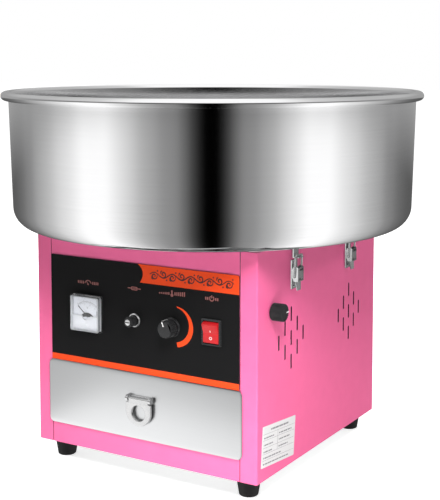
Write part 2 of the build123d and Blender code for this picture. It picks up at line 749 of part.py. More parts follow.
def slip_rings():
    """Two brass rings on the hub."""
    return [pipe(0, 0, (low, low + RING_H), RING_R, HUB_R) for low in RING_ZS]


def brush_centres():
    """Heights of the brushes."""
    return [low + RING_H / 2 for low in RING_ZS]


def brush_holder():
    """Block beside the hub with a channel for each brush."""
    levels = (MOTOR_TOP + MOTOR_PLATE_T, HUB_TOP)
    holder = block(HOLDER_X, (-HOLDER_HALF_Y, HOLDER_HALF_Y), levels)
    half_y = BRUSH_W / 2 + SEAT
    half_z = BRUSH_H / 2 + SEAT
    holder -= [block((HOLDER_X[0] - 1, HOLDER_X[1] - 4), (-half_y, half_y), (z - half_z, z + half_z))
               for z in brush_centres()]
    return holder


def carbon_brushes():
    """Brushes that run on the rings."""
    tip = RING_R + SHAFT_GAP
    return [block((tip, tip + BRUSH_LENGTH), (-BRUSH_W / 2, BRUSH_W / 2), (z - BRUSH_H / 2, z + BRUSH_H / 2))
            for z in brush_centres()]


def head_base():
    """Pan of the spinning head, on a boss over the hub."""
    pan = turned((SHAFT_R, HUB_TOP), (HEAD_BOSS_R, HUB_TOP), (HEAD_BOSS_R + 4, HEAD_LOW), (HEAD_R, HEAD_LOW),
                 (HEAD_R, HEAD_FLOOR + 2), (HEAD_R - BAND_T, HEAD_FLOOR + 2), (HEAD_R - BAND_T, HEAD_FLOOR),
                 (SHAFT_R, HEAD_FLOOR))
    for x, y in head_screw_centres():
        pan += post(x, y, (HEAD_FLOOR, HEAD_RIM), SCREW_R + 2)
        pan -= post(x, y, (HEAD_RIM - 12, HEAD_RIM), SCREW_R)
    return pan


def head_screw_centres():
    """Three screws round the head's cap."""
    return [(HEAD_SCREW_PCD_R * cos(radians(a)), HEAD_SCREW_PCD_R * sin(radians(a))) for a in (90, 210, 330)]


def heater_ring():
    """Turns of heating element just inside the band."""
    pitch = (HEAD_RIM - HEAD_FLOOR) / (HEATER_TURNS + 1)
    turn = Torus(HEATER_R, HEATER_WIRE_R)
    return [Pos(0, 0, HEAD_FLOOR + pitch * (i + 1)) * turn for i in range(HEATER_TURNS)]


def floss_band():
    """Slotted band that the floss leaves through."""
    levels = (HEAD_FLOOR + 2, HEAD_RIM)
    band = pipe(0, 0, levels, HEAD_R, HEAD_R - BAND_T)
    slot = block((HEAD_R - 3 * BAND_T, HEAD_R + 1), (-BAND_SLOT_W / 2, BAND_SLOT_W / 2),
                 (levels[0] + 6, levels[1] - 6))
    return band - [Rot(0, 0, 360 / BAND_SLOTS * i) * slot for i in range(BAND_SLOTS)]


def head_cap():
    """Cap with the sugar cup's flared mouth."""
    wall = BOWL_T
    cap = turned((CUP_R - wall, CUP_LOW), (CUP_R, CUP_LOW), (CUP_R, HEAD_RIM), (HEAD_R, HEAD_RIM),
                 (HEAD_R, HEAD_LID), (CUP_R + wall, HEAD_LID), (CUP_MOUTH_R + wall, HEAD_TOP),
                 (CUP_MOUTH_R, HEAD_TOP), (CUP_R - wall, HEAD_RIM))
    return cap - [post(x, y, (HEAD_RIM - 1, HEAD_LID + 1), SCREW_R + SEAT) for x, y in head_screw_centres()]


def head_screws():
    """Screws through the cap into the pan's posts."""
    return [Pos(x, y, HEAD_LID) * Rot(180, 0, 0) * screw(10) for x, y in head_screw_centres()]


def bowl_profile():
    """Middle line of the bowl's sheet, from the collar to the end of the rolled rim."""
    mid = BOWL_T / 2
    bead = BEAD_R - mid
    bead_x = RIM_R - BEAD_R
    path = FilletPolyline((COLLAR_R + mid, COLLAR_TOP), (COLLAR_R + mid, BOWL_Z + mid),
                          (BOWL_LOW_R - mid, BOWL_Z + mid), (bead_x - bead, BEAD_Z),
                          radius=[COLLAR_BEND_R, BOWL_CORNER_R])
    curl = CenterArc((bead_x, BEAD_Z), bead, 180, -300)
    return path + curl


def floss_bowl():
    """Spun steel bowl with a collar round the hub and a rolled rim.

    It is one sheet, written as five rings that meet face to face: collar, floor, corner, wall and bead."""
    bowl = revolve(Plane.XZ * trace(bowl_profile(), BOWL_T), Axis.Z)
    collar_r = COLLAR_R + BOWL_T + COLLAR_BEND_R
    floor_r = BOWL_LOW_R - BOWL_CORNER_R
    wall_low = BOWL_Z + BOWL_CORNER_R
    bead_low = BEAD_Z - BEAD_R
    over = RIM_R + BEAD_R
    return [
        bowl & post(0, 0, (BOWL_Z - 1, wall_low), collar_r),
        bowl & pipe(0, 0, (BOWL_Z - 1, wall_low), floor_r, collar_r),
        bowl & pipe(0, 0, (BOWL_Z - 1, wall_low), over, floor_r),
        bowl & pipe(0, 0, (wall_low, bead_low), over, floor_r),
        bowl & pipe(0, 0, (bead_low, bead_low + 3 * BEAD_R), over, floor_r),
    ]


def bowl_seal():
    """Rubber ring between the deck and the bowl."""
    return pipe(0, 0, (CAB_TOP, BOWL_Z), SEAL_R, SEAL_R - SEAL_WIDTH)


def latch_frames():
    """Name, y and hand of each latch."""
    for hand in ("right", "left"):
        for end, y in (("front", -LATCH_Y), ("rear", LATCH_Y)):
            yield f"{hand}_{end}", y, hand == "left"


def latch_plane(y):
    """Plane across a latch on the right side: outwards and upwards from the lever's pin."""
    return Plane(origin=(HALF_W + PIVOT_OUT, y, PIVOT_Z), x_dir=(1, 0, 0), z_dir=(0, -1, 0))


def crank():
    """The bail's pivot on the lever, measured from the lever's pin."""
    return -CRANK * sin(radians(CRANK_ANGLE)), -CRANK * cos(radians(CRANK_ANGLE))


def outline_box(across, up):
    """Rectangle between two limits each way."""
    return Pos(sum(across) / 2, sum(up) / 2) * Rectangle(across[1] - across[0], up[1] - up[0])


def both_sides(plane, sketch, limits):
    """The same flange at plus and minus the limits across the latch."""
    flange = extrude(sketch, limits[1] - limits[0])
    return plane * Pos(0, 0, limits[0]) * flange + plane * Pos(0, 0, -limits[1]) * flange


def latch_base(y):
    """Riveted plate with two ears, the lever's pin and the rivets."""
    plane = latch_plane(y)
    foot = block((y - LATCH_PLATE_HALF, y + LATCH_PLATE_HALF), LATCH_PLATE, (0, LATCH_PLATE_T))
    foot -= [post(y, z, (-1, 3), RIVET_R) for z in RIVET_ZS]
    ear = Circle(EAR_R)
    reach = PIVOT_OUT - LATCH_PLATE_T / 2
    ear += Pos(-reach / 2, 0) * Rectangle(reach, 2 * EAR_R)
    base = RIGHT * foot + both_sides(plane, ear, EAR_Y)
    base += plane * post(0, 0, (-LEVER_Y[1] - 0.25, LEVER_Y[1] + 0.25), LATCH_PIN_R)
    rivets = []
    for z in RIVET_ZS:
        rivet = post(y, z, (-SHEET - RIVET_HEAD_H, LATCH_PLATE_T), RIVET_R)
        rivet += post(y, z, (LATCH_PLATE_T, LATCH_PLATE_T + RIVET_HEAD_H), RIVET_HEAD_R)
        rivets.append(RIGHT * rivet)
    return [base, *rivets]


def latch_lever(y):
    """Box-shaped lever with a window in its face, a ledge, and a tapered finger tip."""
    plane = latch_plane(y)
    out, down = crank()
    inner = LEVER_FACE - LEVER_SHEET
    half = LEVER_Y[1]
    side = Circle(LEVER_ROUND_R) + make_face(Polyline(*LEVER_SIDE, close=True))
    side &= Pos(LEVER_FACE - 10, 0) * Rectangle(20, 60)
    side -= Circle(LATCH_PIN_R + SHAFT_GAP)
    side -= Pos(out, down) * Circle(WIRE_R + SHAFT_GAP)
    face = outline_box((inner, LEVER_FACE), (LEVER_FOOT, LEVER_FACE_TOP))
    window_half, window_h, window_z = LEVER_WINDOW
    window = outline_box((inner - 1, LEVER_FACE + 1), (window_z - window_h / 2, window_z + window_h / 2))
    ledge = outline_box((TIP_BACK[0], LEVER_FACE), (LEVER_FOOT, LEVER_FOOT + LEVER_SHEET))
    lever = both_sides(plane, side, LEVER_Y)
    lever += plane * extrude(face, half, both=True)
    lever += plane * extrude(ledge, half, both=True)
    lever -= plane * extrude(window, window_half, both=True)
    top_back, low_back = TIP_BACK
    tip = make_face(Polyline((top_back, LEVER_FOOT + LEVER_SHEET), (top_back + LEVER_SHEET, LEVER_FOOT + LEVER_SHEET),
                             (low_back + LEVER_SHEET, TIP_END), (low_back, TIP_END), close=True))
    wide, narrow = TIP_HALVES
    high, low = PIVOT_Z + LEVER_FOOT + LEVER_SHEET, PIVOT_Z + TIP_END
    taper = make_face(Polyline((y - wide, high), (y + wide, high), (y + narrow, low), (y - narrow, low), close=True))
    tip = plane * extrude(tip, wide, both=True) & RIGHT * extrude(taper, 2 * PIVOT_OUT)
    return lever + tip


def latch_bail(y):
    """Wire loop from the lever up over the catch."""
    out, down = crank()
    low = (HALF_W + PIVOT_OUT + out, PIVOT_Z + down)
    top = (HALF_W + WIRE_TOP_OUT, CATCH_Z + CATCH_T + WIRE_R + 0.35)
    ends = [(low[0], y - 0.6, low[1]), (low[0], y - WIRE_Y, low[1]), (top[0], y - WIRE_Y, top[1])]
    ends += [(top[0], y + WIRE_Y, top[1]), (low[0], y + WIRE_Y, low[1]), (low[0], y + 0.6, low[1])]
    path = FilletPolyline(*ends, radius=list(WIRE_BENDS))
    start = Plane(origin=path @ 0, z_dir=path % 0)
    return sweep(start * Circle(WIRE_R), path=path)


def bowl_catch(y):
    """Bracket under the bowl with a flat lip for the bail."""
    across = (y - CATCH_HALF, y + CATCH_HALF)
    stem = (CATCH_OUT, CATCH_OUT + CATCH_T)
    catch = block(across, (CATCH_Z, BOWL_Z), stem)
    catch += block(across, (CATCH_Z, CATCH_Z + CATCH_T), (CATCH_OUT, CATCH_LIP))
    catch += block(across, (BOWL_Z - CATCH_T, BOWL_Z), (CATCH_OUT, CATCH_FOOT))
    return RIGHT * catch


def cord_gland():
    """Flanged gland in the rear panel; the cord's hole runs right through."""
    gland = post(0, 0, (-SHEET - GLAND_IN, GLAND_OUT), GLAND_R)
    gland += post(0, 0, (0, 3), GLAND_FLANGE_R)
    gland += Pos(0, 0, -SHEET - 4) * extrude(RegularPolygon(GLAND_FLANGE_R, 6), 4)
    gland = chamfer(gland.edges().group_by(Axis.Z)[-1], 2)
    gland -= post(0, 0, (-SHEET - GLAND_IN - 1, GLAND_OUT + 1), GLAND_BORE_R)
    return REAR * Pos(-GLAND_X, GLAND_Z, 0) * gland


def rating_label():
    """Blank plate, stuck on a little askew."""
    return RIGHT * Pos(LABEL_Y, LABEL_Z, 0) * Rot(0, 0, LABEL_TURN) * plate(LABEL_W, LABEL_H, 1, LABEL_T)


def control_board():
    """Circuit board on stand-offs, with its heat sink, capacitor, relay and terminals."""
    board = block((BOARD_X - BOARD_T, BOARD_X), BOARD_Y, BOARD_Z)
    for y in (BOARD_Y[0] + BOARD_INSET, BOARD_Y[1] - BOARD_INSET):
        for z in (BOARD_Z[0] + BOARD_INSET, BOARD_Z[1] - BOARD_INSET):
            leg = Plane(origin=(SHEET - HALF_W, y, z), z_dir=(1, 0, 0))
            board += leg * post(0, 0, (0, BOARD_X - BOARD_T + HALF_W - SHEET), 3)
    sink = block((BOARD_X, BOARD_X + 3), (-30, 5), (165, 195))
    sink += [block((BOARD_X, BOARD_X + 14), (-30 + 5 * i, -28.5 + 5 * i), (165, 195)) for i in range(8)]
    capacitor = Plane(origin=(BOARD_X, 22, 180), z_dir=(1, 0, 0)) * post(0, 0, (0, 16), 8)
    relay = block((BOARD_X, BOARD_X + 15), (8, 30), (146, 164))
    terminals = block((BOARD_X, BOARD_X + 9), (-32, 0), (143, 152))
    return [board, sink, capacitor, relay, terminals]


def wire(points, bend):
    """Insulated wire along straight runs and bends."""
    path = FilletPolyline(*points, radius=bend)
    start = Plane(origin=path @ 0, z_dir=path % 0)
    return sweep(start * Circle(LEAD_R), path=path)


def wiring_loom():
    """Leads from the board to the switch, fuse, motor and cord gland."""
    front = 8 - HALF_D + SWITCH_DEPTH
    edge = BOARD_X + 9
    return [
        wire([(SWITCH_X, front, SWITCH_Z), (SWITCH_X, -92, SWITCH_Z), (SWITCH_X, -92, 132),
              (edge + 8, -92, 132), (edge + 8, -28, 132), (edge + 8, -28, 147), (edge, -28, 147)], 3.5),
        wire([(FUSE_X, FUSE_DEPTH - HALF_D, FUSE_Z), (FUSE_X, -98, FUSE_Z), (FUSE_X, -98, 138),
              (edge + 14, -98, 138), (edge + 14, -20, 138), (edge + 14, -20, 147), (edge, -20, 147)], 3.5),
        wire([(-MOTOR_R, 0, 210), (-90, 0, 210), (-90, -12, 170), (edge + 8, -12, 147), (edge, -12, 147)], 5),
        wire([(GLAND_X, HALF_D - SHEET - GLAND_IN, GLAND_Z), (GLAND_X, 130, GLAND_Z), (GLAND_X, 130, 134),
              (edge + 8, -4, 134), (edge + 8, -4, 147), (edge, -4, 147)], 4),
    ]


def main():
    """Write every node."""
    os.makedirs("parts", exist_ok=True)
    side = side_panel()
    save("right_side_panel", side - speed_place() * post(0, 0, (-2 * SHEET, SHEET), POT_BUSH_R + SEAT))
    save("left_side_panel", mirrored(side))
    save("front_panel", front_panel())
    save("control_panel", control_panel())
    save("rear_panel", rear_panel())
    save("base_plate", base_plate())
    save("top_plate", top_plate())
    save("rubber_feet", *rubber_feet())
    save("foot_screws", *foot_screws())
    save("case_screws", *case_screws())
    save("drawer_runners", *drawer_runners())
    save("drawer_tray", drawer_tray())
    save("drawer_front", drawer_front())
    save("pull_bracket", pull_bracket())
    save("pull_ring", pull_ring())
    save("meter_case", meter_case())
    save("meter_dial", *meter_dial())
    save("meter_needle", meter_needle())
    save("meter_lens", meter_lens())
    save("fuse_holder", fuse_holder())
    save("fuse_cap", fuse_cap())
    save("fuse_link", fuse_link())
    save("temperature_pot", temperature_place() * potentiometer(PANEL_T))
    save("temperature_knob", *[temperature_place() * Rot(0, 0, NEEDLE_REST) * p for p in knob(PANEL_T, True)])
    save("speed_pot", speed_place() * potentiometer(0))
    save("speed_knob", *[speed_place() * p for p in knob(0, False)])
    save("switch_housing", switch_housing())
    save("rocker_button", rocker_button())
    save("control_board", *control_board())
    save("wiring_loom", *wiring_loom())
    save("motor_housing", motor_housing())
    save("motor_bearings", *motor_bearings())
    save("motor_shaft", motor_shaft())
    save("motor_fan", motor_fan())
    save("motor_plate", motor_plate())
    save("motor_mounts", *motor_mounts())
    save("motor_bolts", *motor_bolts())
    save("slip_ring_hub", slip_ring_hub())
    save("slip_rings", *slip_rings())
    save("brush_holder", brush_holder())
    save("carbon_brushes", *carbon_brushes())
    save("head_base", head_base())
    save("heater_ring", *heater_ring())
    save("floss_band", floss_band())
    save("head_cap", head_cap())
    save("head_screws", *head_screws())
    save("floss_bowl", *floss_bowl())
    save("bowl_seal", bowl_seal())
    bases = []
    catches = []
    for name, y, left in latch_frames():
        bases += [mirrored(p) if left else p for p in latch_base(y)]
        catches.append(mirrored(bowl_catch(y)) if left else bowl_catch(y))
        lever = latch_lever(y)
        bail = latch_bail(y)
        save(f"{name}_lever", mirrored(lever) if left else lever)
        save(f"{name}_bail", mirrored(bail) if left else bail)
    save("latch_bases", *bases)
    save("bowl_catches", *catches)
    save("cord_gland", cord_gland())
    save("rating_label", rating_label())


main()
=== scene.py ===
import json
from math import atan2, cos, hypot, pi, radians, sin, tan

import bmesh
import bpy
from mathutils import Matrix, Vector


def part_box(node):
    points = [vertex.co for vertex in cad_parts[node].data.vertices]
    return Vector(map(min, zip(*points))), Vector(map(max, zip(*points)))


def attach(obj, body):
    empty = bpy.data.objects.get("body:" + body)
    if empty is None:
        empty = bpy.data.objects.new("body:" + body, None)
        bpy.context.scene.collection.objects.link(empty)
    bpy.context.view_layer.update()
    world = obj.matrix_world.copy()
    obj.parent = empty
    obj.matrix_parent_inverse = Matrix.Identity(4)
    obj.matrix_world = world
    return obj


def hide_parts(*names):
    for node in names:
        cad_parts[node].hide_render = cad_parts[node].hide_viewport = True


# Tabletop cotton candy machine. Lengths inside the builders are millimetres in a piece's own
# frame (u across, v up, w outwards); each place matrix turns them into metres in the shared frame.
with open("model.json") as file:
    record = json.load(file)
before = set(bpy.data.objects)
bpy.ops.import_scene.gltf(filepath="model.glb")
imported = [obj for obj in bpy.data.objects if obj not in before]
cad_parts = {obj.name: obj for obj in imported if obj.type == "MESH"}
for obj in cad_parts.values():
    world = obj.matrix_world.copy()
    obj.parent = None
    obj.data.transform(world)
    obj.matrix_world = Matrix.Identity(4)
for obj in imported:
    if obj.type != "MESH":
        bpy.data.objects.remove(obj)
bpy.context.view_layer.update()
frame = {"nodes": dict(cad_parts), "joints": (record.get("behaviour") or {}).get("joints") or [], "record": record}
NODES = frame["nodes"]
JOINTS = {joint["name"]: joint for joint in frame["joints"]}
MM = 0.001
STRAIGHT = 89.0        # half angle, in degrees, from which a corner counts as straight
DOUBLED = 1e-4         # points this near to each other, in mm, are one
ON_AXIS = 1e-6         # radius, in mm, under which a turned point lies on the axis


# ---------------------------------------------------------------- places

def place_at(origin, across, up, out):
    """Matrix from millimetres (u, v, w) to metres at an origin given in metres."""
    turn = Matrix((across, up, out)).transposed().to_4x4()
    return Matrix.Translation(origin) @ turn @ Matrix.Scale(MM, 4)


def on_front(x, z, y):
    return place_at((x, y, z), (1, 0, 0), (0, 0, 1), (0, -1, 0))


def on_right(y, z, x):
    return place_at((x, y, z), (0, 1, 0), (0, 0, 1), (1, 0, 0))


def upright(x=0.0, y=0.0, z=0.0):
    return place_at((x, y, z), (1, 0, 0), (0, 1, 0), (0, 0, 1))


def low(node):
    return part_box(node)[0]


def high(node):
    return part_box(node)[1]


def middle(node):
    return (low(node) + high(node)) / 2


# ---------------------------------------------------------------- mesh builders

def new_object(name, mesh, place):
    mesh.transform(place)
    mesh.update()
    piece = bpy.data.objects.new(name, mesh)
    bpy.context.scene.collection.objects.link(piece)
    return piece


def smooth(mesh, angle=32):
    mesh.shade_smooth()
    mesh.set_sharp_from_angle(angle=radians(angle))


def clean(mesh):
    """Joins doubled points and turns every face outwards."""
    work = bmesh.new()
    work.from_mesh(mesh)
    bmesh.ops.remove_doubles(work, verts=work.verts, dist=DOUBLED)
    bmesh.ops.recalc_face_normals(work, faces=work.faces)
    work.to_mesh(mesh)
    work.free()


def rounded(points, radii, steps=6, closed=True):
    """The same outline with an arc at each corner; radii is one number or one for each point."""
    count = len(points)
    if not hasattr(radii, "__len__"):
        radii = [radii] * count
    out = []
    for i, corner in enumerate(points):
        here = Vector(corner)
        radius = radii[i]
        if radius <= 0 or (not closed and i in (0, count - 1)):
            out.append(tuple(here))
            continue
        before = Vector(points[i - 1]) - here
        after = Vector(points[(i + 1) % count]) - here
        half = before.angle(after) / 2
        if half > radians(STRAIGHT):
            out.append(tuple(here))
            continue
        reach = min(radius / tan(half), 0.49 * before.length, 0.49 * after.length)
        start = here + before.normalized() * reach
        end = here + after.normalized() * reach
        true_radius = reach * tan(half)
        inward = (before.normalized() + after.normalized()).normalized()
        centre = here + inward * true_radius / sin(half)
        first = start - centre
        sweep = first.angle_signed(end - centre)
        for k in range(steps + 1):
            turn = Matrix.Rotation(-sweep * k / steps, 2)
            out.append(tuple(centre + turn @ first))
    return out


def lathe(name, profile, place, segments=96, closed=True):
    """Turned piece from (radius, w) points; an open profile starts and ends on the axis."""
    verts = []
    rings = []
    for radius, height in profile:
        if radius < ON_AXIS:
            rings.append([len(verts)] * segments)
            verts.append((0, 0, height))
            continue
        rings.append(list(range(len(verts), len(verts) + segments)))
        for k in range(segments):
            angle = 2 * pi * k / segments
            verts.append((radius * cos(angle), radius * sin(angle), height))
    faces = []
    pairs = len(rings) if closed else len(rings) - 1
    for i in range(pairs):
        a = rings[i]
        b = rings[(i + 1) % len(rings)]
        for k in range(segments):
            n = (k + 1) % segments
            face = list(dict.fromkeys((a[k], a[n], b[n], b[k])))
            if len(face) > 2:
                faces.append(face)
    mesh = bpy.data.meshes.new(name)
    mesh.from_pydata(verts, [], faces)
    clean(mesh)
    smooth(mesh)
    return new_object(name, mesh, place)


def baked(name, curve):
    """Mesh of a curve or text, which is then dropped."""
    holder = bpy.data.objects.new(name + "_holder", curve)
    bpy.context.scene.collection.objects.link(holder)
    bpy.context.view_layer.update()
    shape = holder.evaluated_get(bpy.context.evaluated_depsgraph_get())
    mesh = bpy.data.meshes.new_from_object(shape)
    bpy.data.objects.remove(holder)
    bpy.data.curves.remove(curve)
    mesh.name = name
    return mesh


def slab(name, loops, w, place, bevel=0.0, steps=3, angle=32):
    """Flat piece from outlines (the first is outside, the rest are holes) between w levels."""
    curve = bpy.data.curves.new(name + "_outline", "CURVE")
    curve.dimensions = "2D"
    curve.fill_mode = "BOTH"
    for loop in loops:
        spline = curve.splines.new("POLY")
        spline.points.add(len(loop) - 1)
        for point, (u, v) in zip(spline.points, loop):
            point.co = (u, v, 0, 1)
        spline.use_cyclic_u = True
    thick = w[1] - w[0]
    curve.extrude = thick / 2 - bevel
    curve.bevel_depth = bevel
    curve.bevel_resolution = steps
    curve.offset = -bevel
    mesh = baked(name, curve)
    mesh.transform(Matrix.Translation((0, 0, (w[0] + w[1]) / 2)))
    clean(mesh)
    smooth(mesh, angle)
    return new_object(name, mesh, place)


def tube(name, points, radius, place, closed=False, sides=16):
    """Round wire through points, with round ends."""
    curve = bpy.data.curves.new(name + "_line", "CURVE")
    curve.dimensions = "3D"
    spline = curve.splines.new("POLY")
    spline.points.add(len(points) - 1)
    for point, co in zip(spline.points, points):
        point.co = (*co, 1)
    spline.use_cyclic_u = closed
    curve.bevel_depth = radius
    curve.bevel_resolution = sides // 4
    curve.use_fill_caps = True
    mesh = baked(name, curve)
    clean(mesh)
    smooth(mesh, 50)
    return new_object(name, mesh, place)


def merge(name, pieces):
    """One object from several."""
    work = bmesh.new()
    for piece in pieces:
        work.from_mesh(piece.data)
        bpy.data.objects.remove(piece)
    mesh = bpy.data.meshes.new(name)
    work.to_mesh(mesh)
    work.free()
    piece = bpy.data.objects.new(name, mesh)
    bpy.context.scene.collection.objects.link(piece)
    return piece


def arc(cu, cv, radius, start, end, steps=24):
    """Points on a circle, angles in degrees."""
    out = []
    for k in range(steps + 1):
        angle = radians(start + (end - start) * k / steps)
        out.append((cu + radius * cos(angle), cv + radius * sin(angle)))
    return out


def circle(cu, cv, radius, steps=48):
    return arc(cu, cv, radius, 0, 360 * (steps - 1) / steps, steps - 1)


def rectangle(u0, u1, v0, v1):
    return [(u0, v0), (u1, v0), (u1, v1), (u0, v1)]


def round_box(u0, u1, v0, v1, radius, steps=6):
    return rounded(rectangle(u0, u1, v0, v1), radius, steps)


def band(points, width):
    """Closed outline of a stroke of constant or changing width along points."""
    count = len(points)
    widths = width if hasattr(width, "__len__") else [width] * count
    left = []
    right = []
    for i, (u, v) in enumerate(points):
        a = points[max(i - 1, 0)]
        b = points[min(i + 1, count - 1)]
        du, dv = b[0] - a[0], b[1] - a[1]
        size = hypot(du, dv) or 1.0
        du, dv = du / size * widths[i] / 2, dv / size * widths[i] / 2
        left.append((u - dv, v + du))
        right.append((u + dv, v - du))
    return left + right[::-1]


# ---------------------------------------------------------------- materials

NOISE_DETAIL = 3.0
GRAIN_DETAIL = 2.0
BUMP_STRENGTH = 0.5
MOTTLE = (0.3, 0.7)    # noise levels at which the second and the first colour are full
SHADE = 0.93           # how dark the second colour is where a look gives none


def finish(name, colour, second=None, rough=(0.4, 0.5), metal=0.0, scale=200.0, stretch=(1, 1, 1),
           bump=0.0, bump_scale=None, ior=1.5, specular=0.5, coat=0.0, coat_rough=0.1, clear=0.0):
    """Principled material whose colour, roughness and relief vary with noise in object space."""
    material = bpy.data.materials.new(name)
    material.use_nodes = True
    tree = material.node_tree
    tree.nodes.clear()
    add = tree.nodes.new
    link = tree.links.new
    output = add("ShaderNodeOutputMaterial")
    shader = add("ShaderNodeBsdfPrincipled")
    link(shader.outputs["BSDF"], output.inputs["Surface"])
    shader.inputs["Metallic"].default_value = metal
    shader.inputs["IOR"].default_value = ior
    shader.inputs["Specular IOR Level"].default_value = specular
    shader.inputs["Coat Weight"].default_value = coat
    shader.inputs["Coat Roughness"].default_value = coat_rough
    shader.inputs["Transmission Weight"].default_value = clear
    place = add("ShaderNodeTexCoord")
    mapping = add("ShaderNodeMapping")
    mapping.inputs["Scale"].default_value = stretch
    link(place.outputs["Object"], mapping.inputs["Vector"])
    noise = add("ShaderNodeTexNoise")
    noise.inputs["Scale"].default_value = scale
    noise.inputs["Detail"].default_value = NOISE_DETAIL
    link(mapping.outputs["Vector"], noise.inputs["Vector"])
    ramp = add("ShaderNodeValToRGB")
    dark, light = ramp.color_ramp.elements
    dark.position, light.position = MOTTLE
    dark.color = (*(second or [SHADE * c for c in colour]), 1)
    light.color = (*colour, 1)
    link(noise.outputs["Fac"], ramp.inputs["Fac"])
    link(ramp.outputs["Color"], shader.inputs["Base Color"])
    span = add("ShaderNodeMapRange")
    span.inputs["To Min"].default_value = rough[0]
    span.inputs["To Max"].default_value = rough[1]
    link(noise.outputs["Fac"], span.inputs["Value"])
    link(span.outputs["Result"], shader.inputs["Roughness"])
    if bump:
        grain = add("ShaderNodeTexNoise")
        grain.inputs["Scale"].default_value = bump_scale or scale
        grain.inputs["Detail"].default_value = GRAIN_DETAIL
        link(mapping.outputs["Vector"], grain.inputs["Vector"])
        relief = add("ShaderNodeBump")
        relief.inputs["Strength"].default_value = BUMP_STRENGTH
        relief.inputs["Distance"].default_value = bump * MM
        link(grain.outputs["Fac"], relief.inputs["Height"])
        link(relief.outputs["Normal"], shader.inputs["Normal"])
    return material


